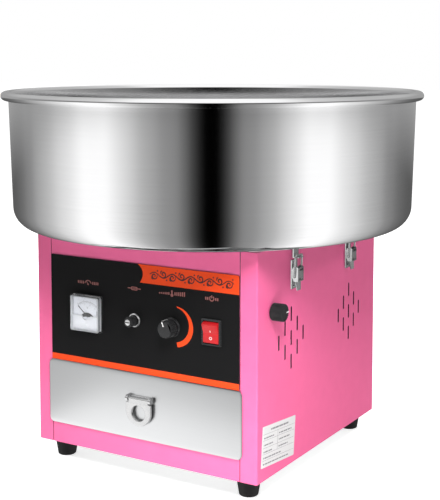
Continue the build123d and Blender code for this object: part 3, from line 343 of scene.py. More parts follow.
LOOKS = {
    "pink_paint": dict(
        colour=(0.86, 0.148, 0.335), second=(0.835, 0.138, 0.318), rough=(0.36, 0.44),
        scale=60, specular=0.25, coat=0.08, coat_rough=0.15, bump=0.02, bump_scale=900),
    "panel_black": dict(
        colour=(0.0092, 0.0092, 0.0095), second=(0.0078, 0.0078, 0.0081), rough=(0.45, 0.55),
        scale=700, specular=0.07, bump=0.01, bump_scale=2500),
    "panel_orange": dict(
        colour=(0.80, 0.07, 0.014), second=(0.77, 0.063, 0.012), rough=(0.45, 0.55), scale=500,
        specular=0.15),
    "bowl_steel": dict(
        colour=(0.93, 0.93, 0.935), second=(0.90, 0.90, 0.905), rough=(0.085, 0.12), metal=1.0,
        scale=9, stretch=(1, 1, 90), bump=0.002, bump_scale=14),
    "drawer_steel": dict(
        colour=(0.51, 0.515, 0.52), second=(0.495, 0.50, 0.505), rough=(0.28, 0.33), metal=1.0,
        scale=30, stretch=(1, 1, 60), bump=0.003, bump_scale=60),
    "bright_steel": dict(
        colour=(0.82, 0.82, 0.82), second=(0.70, 0.70, 0.71), rough=(0.14, 0.26), metal=1.0,
        scale=120, bump=0.004, bump_scale=600),
    "pull_steel": dict(
        colour=(0.80, 0.80, 0.80), second=(0.74, 0.74, 0.745), rough=(0.2, 0.3), metal=1.0,
        scale=160, bump=0.003, bump_scale=700),
    "zinc_steel": dict(
        colour=(0.62, 0.63, 0.62), second=(0.50, 0.52, 0.52), rough=(0.3, 0.5), metal=1.0,
        scale=90, bump=0.006, bump_scale=400),
    "rubber_black": dict(
        colour=(0.014, 0.013, 0.014), second=(0.010, 0.010, 0.010), rough=(0.5, 0.68),
        scale=250, specular=0.25, bump=0.05, bump_scale=900),
    "black_plastic": dict(
        colour=(0.014, 0.014, 0.015), second=(0.010, 0.010, 0.011), rough=(0.2, 0.3),
        scale=300, specular=0.5, bump=0.008, bump_scale=1200),
    "red_plastic": dict(
        colour=(0.50, 0.010, 0.014), second=(0.45, 0.008, 0.011), rough=(0.2, 0.28), scale=150,
        specular=0.4, coat=0.1, coat_rough=0.1),
    "clear_plastic": dict(
        colour=(0.985, 0.99, 0.995), second=(0.975, 0.98, 0.985), rough=(0.02, 0.05), scale=90,
        ior=1.49, clear=1.0),
    "dial_white": dict(
        colour=(0.70, 0.715, 0.76), second=(0.67, 0.685, 0.73), rough=(0.5, 0.6), scale=200),
    "needle_black": dict(
        colour=(0.012, 0.012, 0.013), rough=(0.35, 0.45), scale=300),
    "fuse_glass": dict(
        colour=(0.95, 0.96, 0.95), rough=(0.02, 0.05), scale=90, ior=1.5, clear=1.0),
    "board_green": dict(
        colour=(0.03, 0.20, 0.07), second=(0.02, 0.15, 0.05), rough=(0.3, 0.45), scale=300,
        bump=0.02, bump_scale=700),
    "wire_red": dict(
        colour=(0.55, 0.03, 0.03), second=(0.45, 0.02, 0.02), rough=(0.35, 0.5), scale=200),
    "motor_metal": dict(
        colour=(0.28, 0.29, 0.30), second=(0.20, 0.21, 0.22), rough=(0.35, 0.55), metal=1.0,
        scale=120, bump=0.03, bump_scale=500),
    "aluminium": dict(
        colour=(0.80, 0.81, 0.82), second=(0.70, 0.71, 0.72), rough=(0.25, 0.38), metal=1.0,
        scale=40, stretch=(1, 1, 12), bump=0.005, bump_scale=80),
    "brass": dict(
        colour=(0.78, 0.56, 0.24), second=(0.66, 0.46, 0.19), rough=(0.2, 0.35), metal=1.0,
        scale=90, bump=0.004, bump_scale=400),
    "insulator": dict(
        colour=(0.16, 0.075, 0.035), second=(0.12, 0.055, 0.025), rough=(0.3, 0.5), scale=140,
        bump=0.01, bump_scale=500),
    "carbon": dict(
        colour=(0.03, 0.03, 0.032), second=(0.02, 0.02, 0.022), rough=(0.5, 0.7), scale=300,
        bump=0.02, bump_scale=900),
    "heater_alloy": dict(
        colour=(0.42, 0.36, 0.32), second=(0.26, 0.20, 0.18), rough=(0.35, 0.55), metal=1.0,
        scale=180, bump=0.02, bump_scale=600),
    "label_white": dict(
        colour=(0.70, 0.705, 0.70), second=(0.68, 0.685, 0.68), rough=(0.4, 0.5), scale=160,
        bump=0.006, bump_scale=700),
    "fan_plastic": dict(
        colour=(0.05, 0.05, 0.055), second=(0.035, 0.035, 0.04), rough=(0.35, 0.5), scale=200,
        bump=0.01, bump_scale=700),
    "print_white": dict(
        colour=(0.80, 0.80, 0.79), second=(0.74, 0.74, 0.73), rough=(0.4, 0.5), scale=400),
    "print_grey": dict(
        colour=(0.17, 0.17, 0.18), second=(0.13, 0.13, 0.14), rough=(0.45, 0.55), scale=400),
    "print_salmon": dict(
        colour=(0.30, 0.11, 0.10), second=(0.24, 0.08, 0.072), rough=(0.45, 0.55), scale=900),
    "print_brown": dict(
        colour=(0.060, 0.010, 0.008), second=(0.045, 0.008, 0.006), rough=(0.45, 0.55),
        scale=900),
    # Painted reflection: grey that stands in for how the clear case walls look by reflection
    "case_reflection_grey": dict(
        colour=(0.36, 0.37, 0.385), second=(0.32, 0.33, 0.345), rough=(0.3, 0.4), scale=200),
    "mask_white": dict(
        colour=(0.60, 0.61, 0.64), second=(0.57, 0.58, 0.61), rough=(0.35, 0.45), scale=200),
}
MATERIALS = {name: finish(name, **look) for name, look in LOOKS.items()}


def maths(tree, operation, a, b=None):
    """Math node fed with numbers or sockets."""
    node = tree.nodes.new("ShaderNodeMath")
    node.operation = operation
    for socket, value in zip(node.inputs, (a, b)):
        if value is None:
            continue
        if isinstance(value, (int, float)):
            socket.default_value = value
        else:
            tree.links.new(value, socket)
    return node.outputs[0]


def node_of(tree, kind):
    """The tree's first node of a kind."""
    return next(node for node in tree.nodes if node.type == kind)


# Near-black painted shade, standing for the shade inside the cabinet and in its vent slots
PAINTED_SHADE = (0.012, 0.003, 0.006, 1)
SKIN = 0.15 * MM       # depth from which a face is inside
FOLD = 3.3 * MM        # how far the folded corners keep clear of that test


def prime_inside(material, corner):
    """Painted shade: near-black colour on every face further in than the cabinet's outer skin, so the vent slots
    and the inside look dark; folds left out.
    """
    tree = material.node_tree
    shader = node_of(tree, "BSDF_PRINCIPLED")
    split = tree.nodes.new("ShaderNodeSeparateXYZ")
    tree.links.new(node_of(tree, "TEX_COORD").outputs["Object"], split.inputs[0])
    x = maths(tree, "ABSOLUTE", split.outputs["X"])
    y = maths(tree, "ABSOLUTE", split.outputs["Y"])
    inside = maths(tree, "LESS_THAN", x, corner.x - SKIN)
    for size, limit in ((y, corner.y - SKIN), (maths(tree, "ADD", x, y), corner.x + corner.y - FOLD),
                        (split.outputs["Z"], corner.z - SKIN)):
        inside = maths(tree, "MULTIPLY", inside, maths(tree, "LESS_THAN", size, limit))
    mix = tree.nodes.new("ShaderNodeMix")
    mix.data_type = "RGBA"
    tree.links.new(inside, mix.inputs["Factor"])
    tree.links.new(shader.inputs["Base Color"].links[0].from_socket, mix.inputs["A"])
    mix.inputs["B"].default_value = PAINTED_SHADE
    tree.links.new(mix.outputs["Result"], shader.inputs["Base Color"])


# Painted shade on the cabinet's inner faces
prime_inside(MATERIALS["pink_paint"], Vector((*high("right_side_panel").xy, high("top_plate").z)))


def paint(piece, look):
    piece.data.materials.clear()
    piece.data.materials.append(MATERIALS[look])


# Slots that bright metal doesn't mirror
UNMIRRORED = ("pink_paint", "panel_black", "red_plastic")


def belongs(piece, body, slot, look=None, replaces=()):
    """Rides on a body, takes a slot's finish, and stands for CAD nodes."""
    paint(piece, look or slot)
    piece.visible_glossy = slot not in UNMIRRORED
    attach(piece, body)
    if replaces:
        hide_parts(*replaces)
    return piece


# ---------------------------------------------------------------- camera and light

VIEW_AZIMUTH = radians(31.0)
VIEW_PITCH = radians(4.99)
VIEW_PLACE = (0.740, -1.2135, 0.4957)
LENS = 82.03
SENSOR = 36.0
LENS_SHIFT = -0.2


def add_camera():
    data = bpy.data.cameras.new("camera")
    data.lens = LENS
    data.sensor_width = SENSOR
    data.shift_y = LENS_SHIFT
    data.clip_start = 0.01
    camera = bpy.data.objects.new("camera", data)
    camera.location = VIEW_PLACE
    camera.rotation_euler = (pi / 2 - VIEW_PITCH, 0, VIEW_AZIMUTH)
    bpy.context.scene.collection.objects.link(camera)
    bpy.context.scene.camera = camera


# What metal mirrors, as angles in degrees and the brightness there. The studio's middle faces
# STUDIO_AZIMUTH and rises by STUDIO_RISE. Its walls go by twice an upright mirror's turn away from
# that middle, and their right half is a little narrower than their left.
STUDIO_AZIMUTH = VIEW_AZIMUTH
STUDIO_RISE = radians(6.5)
RIGHT_SQUEEZE = 1.14
STUDIO_STRENGTH = 1.1
WALLS = ((0, 0.0), (4, 0.002), (8, 0.03), (12, 0.09), (18, 0.215), (29, 0.32), (41, 0.53),
         (54, 0.86), (67, 1.06), (81, 0.85), (97, 0.57), (116, 0.31), (129, 0.18), (146, 0.105),
         (180, 0.10))
CEILING = ((0, 0.98), (40, 0.95), (62, 0.62), (100, 0.47), (180, 0.46))
# What stands above the walls at the sides of the set
SIDES = ((0, 0.0), (70, 0.03), (125, 0.36), (180, 0.38))
# Share of the walls and of the ceiling, by a ray's angle from straight down
WALLS_FADE = ((0, 1.0), (83, 1.0), (87, 0.14), (180, 0.14))
CEILING_SHARE = ((0, 0.0), (100, 0.0), (114, 1.0), (180, 1.0))
# Light that reaches matt surfaces from all round
FILL = 0.06
WHITE = (1, 1, 1, 1)


def add_ramp(tree, factor, steps, interpolation="LINEAR"):
    """Grey ramp over half a turn, from (degrees, brightness) pairs."""
    ramp = tree.nodes.new("ShaderNodeValToRGB")
    ramp.color_ramp.interpolation = interpolation
    elements = ramp.color_ramp.elements
    elements[0].position, elements[1].position = 0.0, 1.0
    for angle, _ in steps[1:-1]:
        elements.new(angle / 180)
    for element, (_, value) in zip(elements, steps):
        element.color = (value, value, value, 1)
    tree.links.new(factor, ramp.inputs["Fac"])
    return ramp.outputs["Color"]


def mirrored_studio(tree):
    """Colour that a mirror sees in each direction: dark middle, two bright soft boxes, a ceiling."""
    link = tree.links.new
    east, north = sin(STUDIO_AZIMUTH), cos(STUDIO_AZIMUTH)
    facing = (cos(STUDIO_RISE) * east, -cos(STUDIO_RISE) * north, sin(STUDIO_RISE))
    where = tree.nodes.new("ShaderNodeTexCoord")
    lean = tree.nodes.new("ShaderNodeVectorMath")
    lean.operation = "ADD"
    link(where.outputs["Generated"], lean.inputs[0])
    lean.inputs[1].default_value = facing
    split = tree.nodes.new("ShaderNodeSeparateXYZ")
    link(lean.outputs[0], split.inputs[0])
    x, y = split.outputs["X"], split.outputs["Y"]
    along = maths(tree, "SUBTRACT", maths(tree, "MULTIPLY", x, east), maths(tree, "MULTIPLY", y, north))
    across = maths(tree, "ADD", maths(tree, "MULTIPLY", x, north), maths(tree, "MULTIPLY", y, east))
    across = maths(tree, "MAXIMUM", across, maths(tree, "MULTIPLY", across, RIGHT_SQUEEZE))
    turn = maths(tree, "MULTIPLY", maths(tree, "ABSOLUTE", maths(tree, "ARCTAN2", across, along)), 2 / pi)
    height = tree.nodes.new("ShaderNodeSeparateXYZ")
    link(where.outputs["Generated"], height.inputs[0])
    climb = maths(tree, "MULTIPLY", maths(tree, "ARCSINE", height.outputs["Z"]), 1 / pi)
    climb = maths(tree, "ADD", climb, 0.5)
    fade = add_ramp(tree, climb, WALLS_FADE)
    above = maths(tree, "MULTIPLY", add_ramp(tree, turn, SIDES), maths(tree, "SUBTRACT", 1.0, fade))
    walls = maths(tree, "MULTIPLY", add_ramp(tree, turn, WALLS, "CARDINAL"), fade)
    mixed = tree.nodes.new("ShaderNodeMix")
    mixed.data_type = "RGBA"
    link(add_ramp(tree, climb, CEILING_SHARE), mixed.inputs["Factor"])
    link(maths(tree, "ADD", walls, above), mixed.inputs["A"])
    link(add_ramp(tree, turn, CEILING), mixed.inputs["B"])
    return mixed.outputs["Result"]


def add_world():
    """White backdrop for the camera, the studio for reflections, and a faint even fill for the rest."""
    world = bpy.data.worlds.new("studio")
    bpy.context.scene.world = world
    world.use_nodes = True
    tree = world.node_tree
    tree.nodes.clear()
    link = tree.links.new

    def background(strength):
        node = tree.nodes.new("ShaderNodeBackground")
        node.inputs["Color"].default_value = WHITE
        node.inputs["Strength"].default_value = strength
        return node

    def either(factor, plain, chosen):
        node = tree.nodes.new("ShaderNodeMixShader")
        link(factor, node.inputs[0])
        link(plain, node.inputs[1])
        link(chosen, node.inputs[2])
        return node.outputs[0]

    path = tree.nodes.new("ShaderNodeLightPath")
    studio = background(STUDIO_STRENGTH)
    link(mirrored_studio(tree), studio.inputs["Color"])
    unseen = either(path.outputs["Is Glossy Ray"], background(FILL).outputs[0], studio.outputs[0])
    seen = either(path.outputs["Is Camera Ray"], unseen, background(1.0).outputs[0])
    output = tree.nodes.new("ShaderNodeOutputWorld")
    link(seen, output.inputs["Surface"])


def add_card(name, location, target, size, power):
    """Flat light from a place towards a target, hidden from the camera and from reflections."""
    data = bpy.data.lights.new(name, "AREA")
    data.shape = "RECTANGLE"
    data.size, data.size_y = size
    data.energy = power
    light = bpy.data.objects.new(name, data)
    light.location = location
    light.rotation_euler = (Vector(target) - Vector(location)).to_track_quat("-Z", "Y").to_euler()
    light.visible_glossy = False
    light.visible_camera = False
    bpy.context.scene.collection.objects.link(light)
    return light


LIGHT_DISTANCE = 1.7
LIT_POINT = Vector((0, 0, 0.15))
# Soft boxes around the cabinet: name, azimuth and rise in degrees, side in metres, power in watts
SOFT_BOXES = (("key", 37, 47, 0.6, 31.5), ("right_rear", 115, 30, 0.3, 5.5), ("rear", 215, 42, 0.8, 17),
              ("left", 262, 35, 0.8, 11))
# Low cards that lift the bottom of the cabinet: name, place, target, size, power
LOW_CARDS = (("low_corner", (0.35, -0.38, 0.02), (0.14, -0.15, 0.06), (0.2, 0.05), 0.5),
             ("low_front", (0.10, -0.33, 0.012), (0.10, -0.16, 0.025), (0.5, 0.02), 0.42))


def add_lights():
    for name, azimuth, rise, side, power in SOFT_BOXES:
        turn, tilt = radians(azimuth), radians(rise)
        flat = LIGHT_DISTANCE * cos(tilt)
        away = Vector((flat * sin(turn), -flat * cos(turn), LIGHT_DISTANCE * sin(tilt)))
        add_card(name, LIT_POINT + away, LIT_POINT, (side, side), power)
    for name, location, target, size, power in LOW_CARDS:
        add_card(name, location, target, size, power)


def light_drawer(piece):
    """Glow of the paper in front of the drawer, as its brushed steel mirrors it."""
    card = add_card("paper_glow", (0.07, -0.28, 0.004), (0.07, -0.28, 1.0), (0.62, 0.25), 0.45)
    card.visible_glossy = True
    card.visible_diffuse = False
    only = bpy.data.collections.new("paper_glow_receivers")
    only.objects.link(piece)
    card.light_linking.receiver_collection = only


FLOOR_HALF = 12000     # mm
FLOOR_THICK = 2        # mm
# Radii in metres and the glow at each, of paper that stays white into the distance
GLOW = ((0.3, 0.7), (0.9, 1.0))


def floor_material():
    """White paper, lit evenly into the distance where the camera sees it."""
    material = finish("floor_white", (0.80, 0.80, 0.80), (0.795, 0.795, 0.795), (0.6, 0.7), scale=2)
    tree = material.node_tree
    shader = node_of(tree, "BSDF_PRINCIPLED")
    size = tree.nodes.new("ShaderNodeVectorMath")
    size.operation = "LENGTH"
    tree.links.new(node_of(tree, "TEX_COORD").outputs["Object"], size.inputs[0])
    glow = tree.nodes.new("ShaderNodeMapRange")
    glow.interpolation_type = "SMOOTHSTEP"
    (near, near_glow), (far, far_glow) = GLOW
    glow.inputs["From Min"].default_value = near
    glow.inputs["From Max"].default_value = far
    glow.inputs["To Min"].default_value = near_glow
    glow.inputs["To Max"].default_value = far_glow
    tree.links.new(size.outputs["Value"], glow.inputs["Value"])
    path = tree.nodes.new("ShaderNodeLightPath")
    seen = maths(tree, "MULTIPLY", glow.outputs["Result"], path.outputs["Is Camera Ray"])
    shader.inputs["Emission Color"].default_value = WHITE
    tree.links.new(seen, shader.inputs["Emission Strength"])
    return material


def add_floor():
    outline = rectangle(-FLOOR_HALF, FLOOR_HALF, -FLOOR_HALF, FLOOR_HALF)
    floor = slab("floor", [outline], (-FLOOR_THICK, 0), upright())
    floor.data.materials.clear()
    floor.data.materials.append(floor_material())
    floor.visible_glossy = False


# ---------------------------------------------------------------- bowl

def add_bowl():
    """Spun bowl with a rounded foot, straight wall, and rolled rim left open on its inside."""
    sheet = 1.2
    wall_r = 246.0
    foot_r = 24.0
    bead_r = 5.2
    collar_r = 76.0
    collar_h = 12.0
    bend_r = 3.0
    wall_steps = 12
    base = low("floss_bowl").z / MM
    rim = high("floss_bowl")
    rim_r = rim.x / MM - bead_r
    rim_z = rim.z / MM - bead_r
    half = sheet / 2
    roll = bead_r - half
    path = rounded([(collar_r + half, base + collar_h), (collar_r + half, base + half),
                    (wall_r - half, base + half), (rim_r - roll, rim_z)],
                   [0, bend_r, foot_r, 0], 16, closed=False)
    start, end = Vector(path[-2]), Vector(path[-1])
    wall = [tuple(start.lerp(end, k / wall_steps)) for k in range(1, wall_steps)]
    path = path[:-1] + wall + [tuple(end)]
    path += arc(rim_r, rim_z, roll, 180, -120, 40)[1:]
    bowl = lathe("bowl_shell", band(path, sheet), upright(), segments=384)
    belongs(bowl, "bowl", "bowl_steel", replaces=["floss_bowl"])


# ---------------------------------------------------------------- drawer

def add_drawer():
    """Brushed front with rounded corners and eased edges."""
    corner_r = 6.0
    face_low, face_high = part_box("drawer_front")
    half_w = (face_high.x - face_low.x) / 2 / MM
    half_h = (face_high.z - face_low.z) / 2 / MM
    thick = (face_high.y - face_low.y) / MM
    centre = middle("drawer_front")
    place = on_front(centre.x, centre.z, face_high.y)
    front = slab("drawer_face", [round_box(-half_w, half_w, -half_h, half_h, corner_r, 10)],
                 (0, thick), place, bevel=1.05, steps=5, angle=60)
    belongs(front, "drawer", "drawer_steel", replaces=["drawer_front"])
    light_drawer(front)


# ---------------------------------------------------------------- drawer pull

def add_pull():
    """D-shaped ring with eased edges, hung from the pin between the ears."""
    box_low, box_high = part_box("pull_ring")
    pin = JOINTS["pull_swing"]["pos_m"]
    half = (box_high.x - box_low.x) / 2 / MM
    bottom = (box_low.z - pin[2]) / MM
    thick = (box_high.y - box_low.y) / MM
    plate = 3.0
    tab = half - 3.7
    tab_top = 0.6
    shoulder = -4.3
    hole, hole_r = -16.1, 9.25
    sweep = 48
    place = on_front(pin[0], pin[2], pin[1])
    outline = [(-tab, tab_top), (-tab, shoulder), (-half, shoulder)]
    outline += arc(0, bottom + half, half, 180, 360, sweep)
    outline += [(half, shoulder), (tab, shoulder), (tab, tab_top)]
    radii = [0.8, 0.8, 1.0] + [0] * (sweep + 1) + [1.0, 0.8, 0.8]
    ring = slab("pull_plate", [rounded(outline, radii, 4), circle(0, hole, hole_r, 64)],
                (-plate / 2, plate / 2), place, bevel=0.55, steps=4, angle=60)
    belongs(ring, "pull", "bright_steel", "pull_steel", ["pull_ring"])
    knuckle = tube("pull_knuckle", [(-tab, 0, 0), (tab, 0, 0)], thick / 2, place, sides=24)
    belongs(knuckle, "pull", "bright_steel", "pull_steel")


# ---------------------------------------------------------------- panel graphics

# Levels between which a print stands on a face, and a second print stands on the first
PRINT = (0.02, 0.08)
OVERPRINT = (0.08, 0.12)


def scroll(cu, cv, radius, start, turns, hand, steps=40, tightness=0.86):
    """Spiral that winds in to a centre, from a start angle."""
    out = []
    for k in range(steps + 1):
        share = k / steps
        reach = radius * (1 - tightness * share)
        angle = radians(start + hand * 360 * turns * share)
        out.append((cu + reach * cos(angle), cv + reach * sin(angle)))
    return out


def taper(count, thick, thin=0.25):
    """Stroke widths that swell in the middle."""
    return [thin + (thick - thin) * sin(pi * (0.12 + 0.8 * k / (count - 1))) for k in range(count)]


def banner_ornament(name, place, u0, u1, v, waves):
    """Running scroll with a curl in each wave and a leaf beside it."""
    pieces = []
    length = (u1 - u0) / waves
    swing = 2.8
    steps = 12 * waves
    stem = []
    for k in range(steps + 1):
        share = k / steps
        stem.append((u0 + (u1 - u0) * share, v + swing * sin(pi * waves * share)))
    pieces.append(slab(name + "_stem", [band(stem, taper(len(stem), 1.5, 0.9))], OVERPRINT, place))
    bottom, top = OVERPRINT
    for i in range(waves):
        side = 1 if i % 2 == 0 else -1
        cu = u0 + (i + 0.5) * length
        curl = scroll(cu, v - 1.4 * side, 4.2, 90 * side - 60, 1.3, -side)
        pieces.append(slab(f"{name}_curl_{i}", [band(curl, taper(len(curl), 1.7, 0.4))],
                           (bottom, top + 0.01), place))
        leaf = [(cu - 0.34 * length, v - 1.5 * side), (cu - 0.26 * length, v - 4.6 * side),
                (cu - 0.12 * length, v - 5.8 * side)]
        pieces.append(slab(f"{name}_leaf_{i}", [band(leaf, (0.4, 1.9, 0.4))],
                           (bottom, top + 0.02), place))
        pieces.append(slab(f"{name}_dot_{i}", [circle(cu + 0.36 * length, v + 4.8 * side, 1.0, 20)],
                           (bottom, top + 0.03), place))
    return merge(name, pieces)


def pictogram(kind, u, v):
    """Outlines of a plain symbol, about 6 high, as lists of loops."""
    if kind == "gauge":
        return [[band(arc(u, v - 2.2, 4.6, 165, 15), 1.1)],
                [band([(u, v - 2.2), (u - 2.2, v + 1.0)], 0.9)],
                [circle(u, v - 2.2, 1.1, 20)]]
    if kind == "fuse":
        case = [round_box(u - 4.2, u + 4.2, v - 2.0, v + 2.0, 0.6),
                round_box(u - 3.2, u + 3.2, v - 1.1, v + 1.1, 0.3)]
        leads = [[round_box(u - 9.0, u - 4.2, v - 0.5, v + 0.5, 0.3)],
                 [round_box(u + 4.2, u + 9.0, v - 0.5, v + 0.5, 0.3)]]
        return [case, *leads, [round_box(u - 3.2, u + 3.2, v - 0.35, v + 0.35, 0.2)]]
    if kind == "heat":
        return [[circle(u, v - 2.0, 1.9, 28)], [round_box(u - 1.0, u + 1.0, v - 1.2, v + 3.6, 0.9)]]
    return [[band(arc(u, v, 2.7, 125, 415), 1.1)], [round_box(u - 0.55, u + 0.55, v + 0.3, v + 3.6, 0.4)]]


def level_bars(u, v, reach, inner, heights):
    """Upright bars on both sides of a symbol; heights gives the left end's and the right end's."""
    pitch, gap, half = 2.5, 0.8, 0.75
    foot = v - 2.0
    loops = []
    for side in (-1, 1):
        for k in range(int((reach - inner) / pitch)):
            at = u + side * (inner + gap + pitch * k)
            share = (at - (u - reach)) / (2 * reach)
            tall = heights[0] + (heights[1] - heights[0]) * share
            loops.append([round_box(at - half, at + half, foot, foot + tall, 0.4, 3)])
    return loops


def printed(name, sets, levels, place):
    """One object from sets of outlines, all between the same levels."""
    return merge(name, [slab(f"{name}_{i}", loops, levels, place) for i, loops in enumerate(sets)])


# Each control's symbol: kind, half width with its bars, where the bars start, their end heights
SYMBOLS = (("gauge", 16.5, 6.0, (3.4, 3.4)), ("fuse", 9.0, 9.0, (3.0, 3.0)),
           ("heat", 19.5, 3.4, (1.4, 5.4)), ("power", 11.0, 4.4, (3.2, 3.2)))


def add_panel_print():
    """Orange stripe, banner with its scroll, crescent around the knob, and a symbol for each control."""
    stripe_h = 7.2
    banner_h = 21.3
    symbol_v = 98.4
    face_low, face_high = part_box("control_panel")
    place = on_front(0, face_low.z, face_low.y)
    half = (face_high.x - face_low.x) / 2 / MM
    height = (face_high.z - face_low.z) / MM
    stripe = slab("panel_stripe", [rectangle(-half, half, 0, stripe_h)], PRINT, place)
    belongs(stripe, "cabinet", "panel_black", "panel_orange")
    curve = ((-3.9, 0), (-0.6, 2.4), (1.9, 5.4), (3.2, 8.9), (3.3, 12.4), (2.2, 16.2), (-0.5, banner_h))
    outline = [(across, height - drop) for across, drop in curve]
    outline += [(half, height - banner_h)] + arc(half - 2, height - 2, 2, 0, 90, 6)
    banner = slab("panel_banner", [outline], PRINT, place)
    belongs(banner, "cabinet", "panel_black", "panel_orange")
    knob = JOINTS["temperature_turn"]["pos_m"]
    u, v = knob[0] / MM, (knob[2] - face_low.z) / MM
    sweep = arc(u + 4.8, v + 1.1, 23.3, 87, -83.5, 64) + arc(u + 2.5, v + 3.2, 20.3, -79.6, 76, 64)
    crescent = slab("panel_crescent", [sweep], PRINT, place)
    belongs(crescent, "cabinet", "panel_black", "panel_orange")
    ornament = banner_ornament("banner_scroll", place, 13, 124, height - 10.2, 9)
    belongs(ornament, "cabinet", "panel_black", "print_brown")
    controls = (middle("meter_case").x, middle("fuse_holder").x, knob[0], middle("switch_housing").x)
    sets = []
    for at, (kind, reach, inner, heights) in zip(controls, SYMBOLS):
        sets += pictogram(kind, at / MM, symbol_v)
        sets += level_bars(at / MM, symbol_v, reach, inner, heights)
    symbols = printed("panel_symbols", sets, PRINT, place)
    belongs(symbols, "cabinet", "panel_black", "print_salmon")


# ---------------------------------------------------------------- meter

def text_piece(name, text, size, u, v, w, place):
    """Raised figure or letter, centred on a point."""
    data = bpy.data.curves.new(name, "FONT")
    data.body = text
    data.size = size
    data.align_x = "CENTER"
    data.align_y = "CENTER"
    data.extrude = 0.02
    data.resolution_u = 4
    mesh = baked(name, data)
    mesh.transform(Matrix.Translation((u, v, w)))
    clean(mesh)
    return new_object(name, mesh, place)


def add_meter():
    """Dial with its scale, movement cover and mask, inside a clear box."""
    back = high("meter_dial").y
    centre = middle("meter_case")
    place = on_front(centre.x, centre.z, back)
    half = 19.5
    pivot = (JOINTS["needle_swing"]["pos_m"][2] - centre.z) / MM
    dial = slab("meter_face", [round_box(-half, half, -half, half, 1.2)], (0, 0.4), place, bevel=0.08)
    belongs(dial, "cabinet", "dial_white", replaces=["meter_dial"])
    mask_top = pivot - 1.6
    notch = arc(0, pivot, 6.4, -165, -15, 24)
    outline = [(-half, mask_top), (-6.2, mask_top)] + notch
    outline += [(6.2, mask_top), (half, mask_top), (half, -half), (-half, -half)]
    mask = slab("meter_mask", [outline], (0.4, 2.8), place, bevel=0.25)
    belongs(mask, "cabinet", "dial_white", "mask_white")
    cover = arc(1.0, -10.6, 11.6, 142, 38, 32) + arc(1.0, -22.0, 18.0, 60, 120, 24)
    bridge = slab("meter_bridge", [cover], (0.42, 0.72), place, bevel=0.1)
    belongs(bridge, "cabinet", "needle_black")
    outer, inner = 20.3, 19.6
    # The liner's grey is painted reflection of the clear case walls
    liner = slab("meter_liner", [round_box(-outer, outer, -outer, outer, 2.0),
                                 round_box(-inner, inner, -inner, inner, 1.4)],
                 (0, 5.9), place, bevel=0.1)
    belongs(liner, "cabinet", "dial_white", "case_reflection_grey")
    cu, cv, radius = 0.8, -8.0, 22.0
    first, last, ticks = 128, 52, 15
    inner_r = radius - 1.6
    sets = [[band(arc(cu, cv, radius, first, last, 40), 0.32)],
            [band(arc(cu, cv, inner_r, first, last, 40), 0.14)]]
    for k in range(ticks + 1):
        angle = radians(first - (first - last) * k / ticks)
        tip_r, width = (radius + 1.9, 0.28) if k % 5 == 0 else (radius + 1.1, 0.16)
        sets.append([band([(cu + inner_r * cos(angle), cv + inner_r * sin(angle)),
                           (cu + tip_r * cos(angle), cv + tip_r * sin(angle))], width)])
    scale = printed("meter_scale", sets, (0.42, 0.45), place)
    belongs(scale, "cabinet", "needle_black", "print_grey")
    figure_r, figure_w = radius - 3.6, 0.44
    figures = []
    for i, angle in enumerate((first, 102.7, 77.3, last)):
        turn = radians(angle)
        figures.append(text_piece(f"figure_{i}", str(i), 2.6, cu + figure_r * cos(turn),
                                  cv + figure_r * sin(turn), figure_w, place))
    figures.append(text_piece("figure_unit", "V", 4.2, 1.2, 6.6, figure_w, place))
    numbers = merge("meter_figures", figures)
    belongs(numbers, "cabinet", "needle_black", "print_grey")
    screw_v = (mask_top - half) / 2 - 1
    screw = lathe("meter_screw", [(0, 3.3), (1.3, 3.3), (1.9, 3.0), (2.0, 2.7), (0, 2.7)],
                  place @ Matrix.Translation((0, screw_v, 0)), 32, closed=False)
    belongs(screw, "cabinet", "dial_white", "mask_white")
    NODES["meter_lens"].visible_shadow = False


# ---------------------------------------------------------------- fuse, knobs and switch

def threaded(outer, inner, bottom, top, pitch=1.0, depth=0.4):
    """Profile of a hollow barrel with a thread outside."""
    profile = [(inner, bottom)]
    at = bottom
    while at + pitch <= top:
        profile += [(outer - depth, at), (outer, at + pitch * 0.3), (outer, at + pitch * 0.6)]
        at += pitch
    return profile + [(outer - depth, at), (outer - depth, top), (inner, top)]


def fluted(radius, depth, count, sharpness, steps, shift=0.0):
    """Round outline with evenly spaced grooves."""
    out = []
    for k in range(steps):
        angle = 2 * pi * k / steps
        reach = radius - depth * max(0.0, cos(count * (angle - shift))) ** sharpness
        out.append((reach * cos(angle), reach * sin(angle)))
    return out


